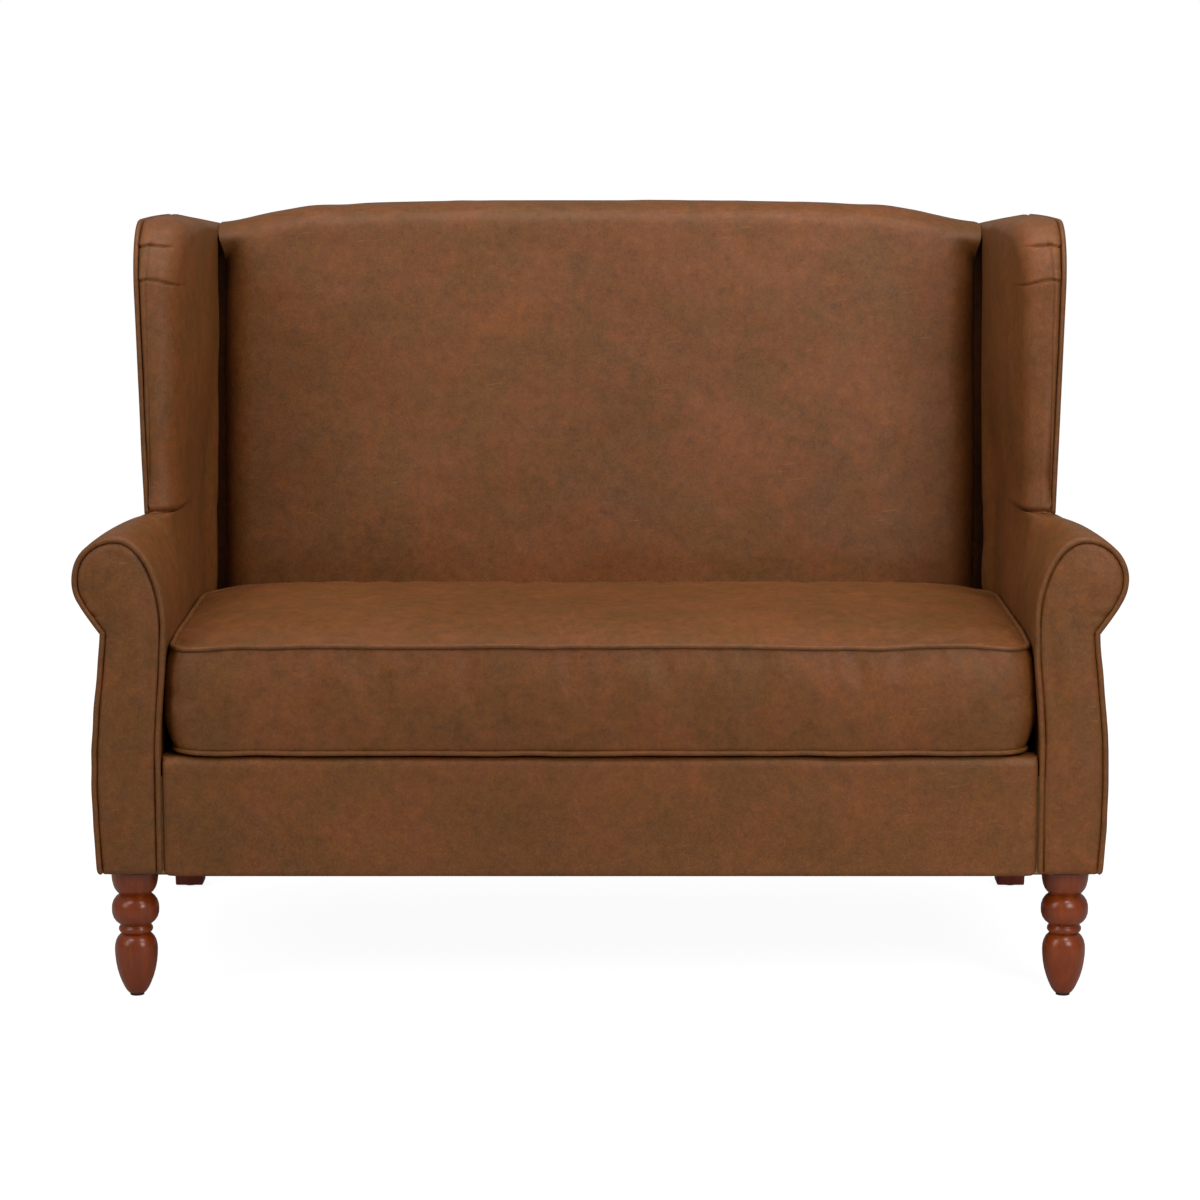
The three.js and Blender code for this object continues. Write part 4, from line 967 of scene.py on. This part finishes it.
def inside_back():
    spans = np.linspace(0, 1, 44)[1:]
    half = [(inset, 0.0) for inset in BACK_ROUND * ROLL_STEPS] + [(BACK_ROUND, share) for share in spans]
    columns = np.array([(-1, *c) for c in half] + [(1, *c) for c in half[::-1][1:]])
    drops = [(drop, 0.0) for drop in CREST_ROUND * ROLL_STEPS]
    rows = np.array(drops + [(CREST_ROUND, share) for share in np.linspace(0, 1, 70)[1:]])
    sign, inset, share = (columns[None, :, i] for i in range(3))
    down, below = (rows[:, i][:, None] for i in range(2))
    foot = DECK + FIT
    lean = lerp(crest_height(BACK_HALF) - down, foot, below)
    closed = seat_side(crease(lean), lean) - FIT
    x = sign * lerp(lerp(BACK_HALF, closed, corner_closed(lean)) - inset, 0, share)
    z = lerp(crest_height(x) - down, foot, below)
    meeting = ease((lean - MEETING_START) / MEETING_RUN)
    edge = np.minimum(np.maximum(inset / BACK_ROUND, meeting), down / CREST_ROUND) + 0 * x
    face = back_face(z) + BACK_HOLLOW * (x / BACK_HALF) ** 2 + BACK_ROUND * roll(edge, 1)
    face = face - BACK_SWELL * ease(np.minimum(BACK_HALF - np.abs(x), crest_height(x) - z) / BACK_SWELL_RUN)
    front = points_at(x, face, z)
    back = points_at(x, panel_rear(z), z)
    loop, ends, other = both_edges(front, back)
    at_top = (loop < len(columns)).astype(float)
    rims = []
    for share in CREST_RIM:
        rim = lerp(ends, other, share)
        depth = (1 - share) * (other[:, 1] - ends[:, 1])
        swell = CREST_RIM_SWELL * math.sin(math.pi * min(1, share * 1.6))
        rim[:, 2] += at_top * (swell - CREST_REAR_DROP * roll(depth, CREST_RIM_ROUND))
        rims.append(rim)
    back[0, :, 2] -= CREST_REAR_DROP

    def lift(points, normals):
        shown = np.clip((panel_rear(points[:, 2]) - points[:, 1]) / 30, 0, 1)
        return shown * (0.9 * ripple(points * (0.6, 1, 1), 160, 23) + 0.35 * ripple(points, 60, 24))

    piece("back_pad", lifted(slab(front, back, rims), lift), "inside_back", crisp=60)


def side_gusset(side):
    """Leather pulled through between the back and a wing, which closes the recess behind the crease."""
    z, share = grid(np.linspace(GUSSET_FOOT, GUSSET_TOP, 60), np.linspace(0, 1, 7))
    x = lerp(BACK_HALF - 5, seat_side(crease(z) + RECESS, z) + 2.5, share)
    y = lerp(crease(z) + RECESS, inner_rear(z), 0.55) + 5 * share
    front = points_at(x, y, z)
    obj = piece("side_gusset", slab(front, front + (0, GUSSET_THICKNESS, 0)), side=side)


def outside_back():
    rows = np.concatenate([np.linspace(0, 0.02, 5), np.linspace(0.02, 1, 60)[1:]])
    row, span = grid(rows, np.linspace(-1, 1, 90))
    top = rear_top(span * WING_REAR_WIDTH) - CREST_REAR_DROP
    z = lerp(top, UNDERSIDE, row)
    wide = np.where(z > NECK, wing_outside(panel_rear(z), z), flank(panel_rear(z), z))
    x = span * wide
    y = rear_plane(z)
    from_edge = least(wide - np.abs(x), top - z, z - UNDERSIDE)
    swell = 2.0 * ease(from_edge / 90) - 2.6 * roll(from_edge, PANEL_EDGE_ROUND)
    near = points_at(x, y + swell, z)
    far = points_at(x, y - PANEL, z)
    piece("rear_panel", uneven(slab(near, far), 0.8, 220, 51), "outside_back", crisp=50)
    line = points_at(x[0], y[0] - PANEL / 2, z[0] + 1)
    piece("crest_piping", sweep(resample(line, 5), CREST_PIPING), look=welt_leather)


# Apron and deck

APRON_HALF = 606.5
APRON_FRONT = 2
APRON_THICKNESS = 8
APRON_FLANGE = 45
APRON_ROUND = 13
APRON_FOOT = 181.5
APRON_FOOT_STEPS = ((7, 0), (4.4, 0.2), (2.2, 1.4), (0.7, 3.4), (0, 6))
APRON_END_STEPS = np.array([0, 0.3, 1.2, 2.6, 4.6, 7.2, 10.5])
DECK_SAG = 2.4
DECK_EDGE_FALL = 5
DECK_EDGE_ROUND = 14


def apron():
    top = DECK - FIT
    inside = APRON_FRONT + APRON_THICKNESS
    outer = [(APRON_FRONT + a, APRON_FOOT + b) for a, b in APRON_FOOT_STEPS]
    outer += [(APRON_FRONT, z) for z in np.linspace(APRON_FOOT + 9, top - APRON_ROUND, 22)[:-1]]
    outer += [(APRON_FRONT + APRON_ROUND * (1 - math.cos(a)), top - APRON_ROUND * (1 - math.sin(a)))
              for a in np.linspace(0, math.pi / 2, 9)]
    outer += [(APRON_FLANGE, top)]
    inner = [(APRON_FLANGE, top - APRON_THICKNESS), (APRON_FRONT + APRON_ROUND, top - APRON_THICKNESS),
             (inside, top - APRON_ROUND), (inside, APRON_FOOT)]
    section = np.array(outer + inner)
    xs = np.concatenate([-APRON_HALF + APRON_END_STEPS, np.linspace(-APRON_HALF + 18, APRON_HALF - 18, 110),
                         APRON_HALF - APRON_END_STEPS[::-1]])
    rings = []
    for x in xs:
        ring = np.column_stack([np.full(len(section), x), section])
        fall = float(roll(APRON_HALF - abs(x), 10))
        ring[:, 1] += 6 * fall * (section[:, 0] < APRON_FRONT + 6)
        ring[:, 2] += 7 * fall * np.clip(1 - (section[:, 1] - APRON_FOOT) / 12, 0, 1)
        rings.append(ring)

    def lift(points, normals):
        front = (normals[:, 1] < -0.3) * ease((APRON_HALF - np.abs(points[:, 0])) / 20)
        soft = 0.9 * ripple(points * (0.7, 1, 1), 130, 61) * ease((points[:, 2] - APRON_FOOT) / 14)
        return front * (soft + 1.2)

    piece("apron_cover", lifted(loft(rings), lift), "apron", crisp=60)


def deck_pad():
    low, high = (np.array(corner) * METRE - (0, SHIFT, 0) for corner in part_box("deck_pad"))
    y, x = grid(np.linspace(low[1], high[1], 50), np.linspace(low[0], high[0], 100))
    edge = least(x - low[0], high[0] - x, y - low[1], high[1] - y)
    z = high[2] - DECK_EDGE_FALL * roll(edge, DECK_EDGE_ROUND) - DECK_SAG * ease(edge / 200)
    top = points_at(x, y, z)
    under = points_at(x, y, low[2])

    def lift(points, normals):
        return (normals[:, 2] > 0.5) * 0.5 * (ripple(points, 90, 71) - 1)

    piece("deck_cover", lifted(slab(top, under), lift), "deck_pad", crisp=50,
          look=platform)


# Cushion

CUSHION_HALF = 599.4
CUSHION_FRONT = -4
CUSHION_REAR = 545.4
CUSHION_CORNER = 50
CUSHION_REST = 350.7
CUSHION_BAND = 46
CUSHION_BAND_STEPS = np.array([0, 4, 9, 15, 22, 30, 38, 46])
CUSHION_MOVE = 16
SEAM_INSET = 7.5
SEAM_TOP = 505.5
SEAM_FOOT = 357.5
CROWN = 13
CROWN_RUN = 230
CROWN_REAR_RUN = 90
FRONT_CORNER_DIP = 6.5
REAR_CORNER_DIP = 8
SEAM_WAVE = 1.3
SIDE_BULGE = 14
BOXING = (
    # share of the way from the top seam to the foot seam, share of the bulge there
    (0.04, 0.3), (0.1, 0.55), (0.18, 0.78), (0.27, 0.93), (0.36, 1), (0.44, 1), (0.458, 1), (0.476, 1),
    (0.538, 1), (0.556, 1), (0.6, 1), (0.68, 0.95), (0.76, 0.85), (0.83, 0.7), (0.9, 0.5), (0.96, 0.25),
)
ZIP_HALF = 503
ZIP_HEIGHT = 430.5
ZIP_FACE = 539.2
PIPING = 3.6
PIPING_OUT = 1.8
PIPING_RISE = 0.8
FOAM_INSET = 14
FOAM_TOP = 492
FOAM_FOOT = 364
FOAM_CROWN = 4
CLOTH = {
    "quality": 5, "mass": 0.3, "tension_stiffness": 18, "compression_stiffness": 18, "shear_stiffness": 8,
    "bending_stiffness": 1.2, "vertex_group_mass": "seams", "use_pressure": True,
    "uniform_pressure_force": 4, "shrink_min": -0.012,
}
CLOTH_FRAMES = 20


def cushion_grid(inset, radius):
    """Table of the plan positions of the cushion's lattice, set in from its outside."""
    half = CUSHION_HALF - inset
    front, rear = CUSHION_FRONT + inset, CUSHION_REAR - inset
    band, steps = CUSHION_BAND, CUSHION_BAND_STEPS
    xs = np.concatenate([steps - half, np.linspace(band - half, half - band, 92)[1:-1], half - steps[::-1]])
    ys = np.concatenate([front + steps, np.linspace(front + band, rear - band, 38)[1:-1], rear - steps[::-1]])
    y, x = grid(ys, xs)
    across, down = np.minimum(x + half, half - x), np.minimum(y - front, rear - y)
    new_across, new_down = round_corner(across, down, radius)
    x = x + np.where(x < 0, 1, -1) * (new_across - np.minimum(across, radius))
    y = y + np.where(y < (front + rear) / 2, 1, -1) * (new_down - np.minimum(down, radius))
    return x, y, np.minimum(across, down)


def dome(t):
    t = np.clip(t, 0, 1)
    return t * (2 - t)


def cushion_form():
    """The cushion before it is filled: points, faces and the numbers of the two seams' points."""
    x, y, edge = cushion_grid(SEAM_INSET, CUSHION_CORNER - SEAM_INSET)
    across = CUSHION_HALF - SEAM_INSET - np.abs(x)
    front = y - CUSHION_FRONT - SEAM_INSET
    rear = CUSHION_REAR - SEAM_INSET - y
    crown = CROWN * dome(across / CROWN_RUN) * dome(np.minimum(front / CROWN_RUN, rear / CROWN_REAR_RUN))
    dip = FRONT_CORNER_DIP * ease(1 - across / 110) * ease(1 - front / 130)
    dip = dip + REAR_CORNER_DIP * ease(1 - across / 70) * ease(1 - rear / 110)
    wave = SEAM_WAVE * ripple(points_at(x, 0, 0), 150, 83) * ease(1 - front / 70)
    top = points_at(x, y, SEAM_TOP + crown - dip + wave)
    corner = ease((np.abs(x) - 545) / 45) * ease((60 - y) / 60)
    foot = points_at(x - np.sign(x) * 3 * corner, y, SEAM_FOOT - 5 * ease(edge / 60))
    loop, upper, lower = both_edges(top, foot)
    flat = upper[:, :2]
    outward = outline_normals(flat)
    if (outward * (flat - flat.mean(axis=0))).sum() < 0:
        outward = -outward
    bulge = lerp(0.7 * SEAM_INSET, SIDE_BULGE, outward[:, :1] ** 2)
    rims = []
    for share, out in BOXING:
        rim = lerp(upper, lower, share)
        rim[:, :2] += outward * out * bulge
        rims.append(rim)
    points, quads, _ = slab(top, foot, rims)
    return points, quads, loop, loop + x.size


def filled(points, quads, pinned):
    """Blows the cushion up with a cloth simulation, its seams held, and returns the new points."""
    mesh = new_mesh("cushion_sim", (points / METRE).tolist(), quads.tolist())
    obj = placed("cushion_sim", mesh)
    group = obj.vertex_groups.new(name="seams")
    group.add([int(i) for i in pinned], 1.0, "REPLACE")
    cloth = obj.modifiers.new("Cloth", "CLOTH")
    for name, value in CLOTH.items():
        setattr(cloth.settings, name, value)
    cloth.settings.effector_weights.gravity = 0
    cloth.collision_settings.use_collision = False
    for number in range(CLOTH_FRAMES):
        scene.frame_set(1 + number)
    evaluated = obj.evaluated_get(bpy.context.evaluated_depsgraph_get())
    result = np.zeros(len(points) * 3)
    evaluated.data.vertices.foreach_get("co", result)
    scene.frame_set(1)
    bpy.data.objects.remove(obj)
    bpy.data.meshes.remove(mesh)
    return result.reshape(-1, 3) * METRE


def cushion():
    base, quads, seam_top, seam_foot = cushion_form()
    pinned = np.concatenate([seam_top, seam_foot])
    move = filled(base, quads, pinned) - base
    reach = np.maximum(np.linalg.norm(move, axis=1, keepdims=True), 1e-6)
    x, y, z = (base + move * (CUSHION_MOVE * np.tanh(reach / CUSHION_MOVE) / reach)).T
    y = np.clip(y, CUSHION_FRONT - 3.5, back_face(z) - 0.6)
    limit = arm_inside(y, z) - 0.4
    x = np.clip(x, -limit, limit)
    z = np.maximum(z, CUSHION_REST)
    at_zip = (np.abs(x) < ZIP_HALF) * (base[:, 1] > 400) * ease((7.5 - np.abs(z - ZIP_HEIGHT)) / 2.2)
    y = y - at_zip * np.maximum(0, y - ZIP_FACE)
    points = points_at(x, y, z)
    obj = piece("seat_cushion_cover", (points, quads, []), body="seat_cushion")
    smooth = obj.modifiers.new("Subdivision", "SUBSURF")
    smooth.levels = smooth.render_levels = 1
    coarse = obj.data
    obj.data = bpy.data.meshes.new_from_object(obj.evaluated_get(bpy.context.evaluated_depsgraph_get()))
    obj.modifiers.clear()
    bpy.data.meshes.remove(coarse)
    obj.data.name = "seat_cushion_cover"
    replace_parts(obj, "cushion_cover")
    middle = points.mean(axis=0)
    for name, seam, rise in (("cushion_top_piping", seam_top, PIPING_RISE),
                             ("cushion_foot_piping", seam_foot, -PIPING_RISE)):
        out = (points[seam] - middle) * (1, 1, 0)
        out /= np.linalg.norm(out, axis=1, keepdims=True)
        path = resample(points[seam] + PIPING_OUT * out + (0, 0, rise), 5, closed=True)
        path = path + 0.5 * ripple(path, 70, 81)[:, None] * (0, 0.5, 1)
        path[:, 2] = np.maximum(path[:, 2], CUSHION_REST + 3.4)
        limit = arm_inside(path[:, 1], path[:, 2]) - 4
        path[:, 0] = np.clip(path[:, 0], -limit, limit)
        piece(name, sweep(path, PIPING, closed=True), "cushion_cover", look=welt_leather, body="seat_cushion")


def cushion_foam():
    x, y, edge = cushion_grid(SEAM_INSET + FOAM_INSET, CUSHION_CORNER - SEAM_INSET)
    top = points_at(x, y, FOAM_TOP + FOAM_CROWN * ease(edge / 120))
    foot = points_at(x, y, FOAM_FOOT)
    _, upper, lower = both_edges(top, foot)
    form = slab(top, foot, [lerp(upper, lower, share) for share in (0.2, 0.4, 0.6, 0.8)])
    piece("foam_core", form, "cushion_foam", crisp=60, look=foam, body="seat_cushion")


# Legs and other rigid pieces with soft edges

LEG_AXIS = (653, 52)
LEG_RISE = 2.6
LEG_RISE_SPAN = ((3, 62, 145, 184), (0, 1, 1, 0))
LEG_PROFILE = (
    # height and radius
    (3, 9.5), (3.6, 11.6), (5.2, 13.2), (8, 15.4), (12, 17.8), (18, 20.6), (26, 23.9), (36, 26.9), (46, 28.8),
    (56, 29.9), (64, 30.2), (70, 29.8), (76, 28.4), (81, 26.0), (84.4, 23.2), (86.4, 20.8), (87.3, 19.6),
    (88.2, 20.7), (90, 22.9), (92.4, 24), (94.8, 24), (97.2, 22.9), (98.8, 21.1), (99.8, 20.9), (101.6, 23.6),
    (105, 27.6), (110, 31), (116, 32.9), (122, 33.2), (128, 32.9), (134, 31), (139, 27.6), (142, 24.2),
    (143.4, 22.3), (144.8, 22.9), (147.4, 25.6), (152, 28.6), (158, 30.8), (165, 32.2), (173, 32.9),
    (183.7, 33),
)


def front_leg(side):
    angles = np.linspace(0, 2 * math.pi, 56, endpoint=False)
    x, y = LEG_AXIS
    rings = []
    for height, r in LEG_PROFILE:
        z = height + LEG_RISE * np.interp(height, *LEG_RISE_SPAN)
        rings.append([(x + r * math.cos(a), y + r * math.sin(a), z) for a in angles])
    piece("turned_leg", loft(rings), "front_leg", side, crisp=70, look=mahogany)


def softened(node, name, look, width, body="settee"):
    """A copy of a CAD node with its sharp edges eased, in that node's place."""
    build = bmesh.new()
    build.from_mesh(nodes[node].data)
    bmesh.ops.remove_doubles(build, verts=build.verts, dist=1e-5)
    bmesh.ops.dissolve_limit(build, angle_limit=math.radians(2), verts=build.verts, edges=build.edges)
    sharp = [e for e in build.edges if len(e.link_faces) == 2 and e.calc_face_angle() > math.radians(30)]
    bmesh.ops.bevel(build, geom=sharp, offset=width / METRE, segments=3, profile=0.5, affect="EDGES")
    mesh = bpy.data.meshes.new(name)
    build.to_mesh(mesh)
    build.free()
    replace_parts(dressed(name, mesh, look, body, 40), node)


for side in (1, -1):
    inside_wing(side)
    outside_wing(side)
    inside_arm(side)
    arm_facing(side)
    outside_arm(side)
    front_leg(side)
    softened(HANDS[side] + "rear_leg", HANDS[side] + "square_leg", dark_wood, 2.2)
inside_back()
side_gusset(1)
side_gusset(-1)
outside_back()
apron()
deck_pad()
cushion()
cushion_foam()
softened("zip_slider", "zip_slider_body", brass, 0.25, body="zip_slider")

# The first row whose word is in a node's name gives its look
LOOKS = (
    ("spring", steel), ("bolt", steel), ("glide", nylon), ("webbing", webbing), ("dust_cover", dust_cloth),
    ("cushion_zip", zip_tape), ("post", beech_upright), ("front_board", beech_upright),
    ("wing_board", beech_upright), ("", beech),
)
for node_name, node in nodes.items():
    look = next(look for word, look in LOOKS if word in node_name)
    node.data.materials.clear()
    node.data.materials.append(look)


# Floor, lights and camera

FLOOR_REACH = 30
FLOOR_GLOW = 0.935
SKY_LIGHT = 0.25


def white_look(name):
    """White that shows as white behind the object and still takes its shadow."""
    look = Look(name)
    tree = look.tree
    tree.nodes.remove(look.surface)
    matte = look.add("BsdfDiffuse", Color=look.ramp(look.noise(30, 3), (0.0, 0.49), (1.0, 0.51)))
    seen = look.add("BsdfDiffuse", Color=look.ramp(look.noise(30, 3), (0.0, 0.29), (1.0, 0.31)))
    glow = look.add("Emission", Color=(1, 1, 1, 1), Strength=FLOOR_GLOW)
    both = look.add("AddShader")
    look.fill(both, {0: seen.outputs[0], 1: glow.outputs[0]})
    path = look.add("LightPath")
    rays = look.combine("MAXIMUM", path.outputs["Is Camera Ray"], path.outputs["Is Transmission Ray"])
    choice = look.add("MixShader")
    look.fill(choice, {0: rays, 1: matte.outputs[0], 2: both.outputs[0]})
    tree.links.new(choice.outputs[0], look.output.inputs[0])
    return look.material


corners = [(x * FLOOR_REACH, y * FLOOR_REACH, 0) for x, y in ((-1, -1), (1, -1), (1, 1), (-1, 1))]
floor_mesh = new_mesh("floor", corners, [(0, 1, 2, 3)])
floor_mesh.materials.append(white_look("floor_white"))
placed("floor", floor_mesh)

world = bpy.data.worlds.new("studio")
scene.world = world
world.use_nodes = True
tree = world.node_tree
background = tree.nodes["Background"]
path = tree.nodes.new("ShaderNodeLightPath")
strength = tree.nodes.new("ShaderNodeMapRange")
tree.links.new(path.outputs["Is Camera Ray"], strength.inputs["Value"])
strength.inputs["To Min"].default_value = SKY_LIGHT
strength.inputs["To Max"].default_value = 1.0
tree.links.new(strength.outputs[0], background.inputs["Strength"])
background.inputs["Color"].default_value = (1, 1, 1, 1)


def lamp(name, place, target, size, power):
    light = bpy.data.lights.new(name, "AREA")
    light.shape = "RECTANGLE"
    light.size, light.size_y = size
    light.energy = power
    obj = placed(name, light)
    obj.location = place
    x, y, z = np.array(target, float) - np.array(place, float)
    obj.rotation_euler = (math.atan2(math.hypot(x, y), -z), 0, math.atan2(x, -y) + math.pi)


lamp("top", (0, -0.2, 3.2), (0, 0.05, 0.4), (2.6, 1.4), 42)
lamp("key", (1.5, -2.4, 1.45), (0.4, -0.1, 0.5), (1.0, 1.0), 24)
lamp("high", (1.0, -1.5, 2.4), (0.6, 0.1, 0.62), (0.9, 0.9), 17)
lamp("side", (-2.8, -2.2, 1.7), (-0.4, 0, 0.6), (1.2, 1.4), 16)
lamp("fill", (-1.6, -1.6, 2.2), (0.5, 0.2, 0.8), (1.0, 1.0), 14)

camera = placed("camera", bpy.data.cameras.new("camera"))
camera.data.lens = 108.2
camera.data.sensor_width = 36
camera.location = (0, -5.2636, 1.3526)
camera.rotation_euler = (math.radians(80.92), 0, 0)
scene.camera = camera
scene.view_settings.view_transform = "Standard"
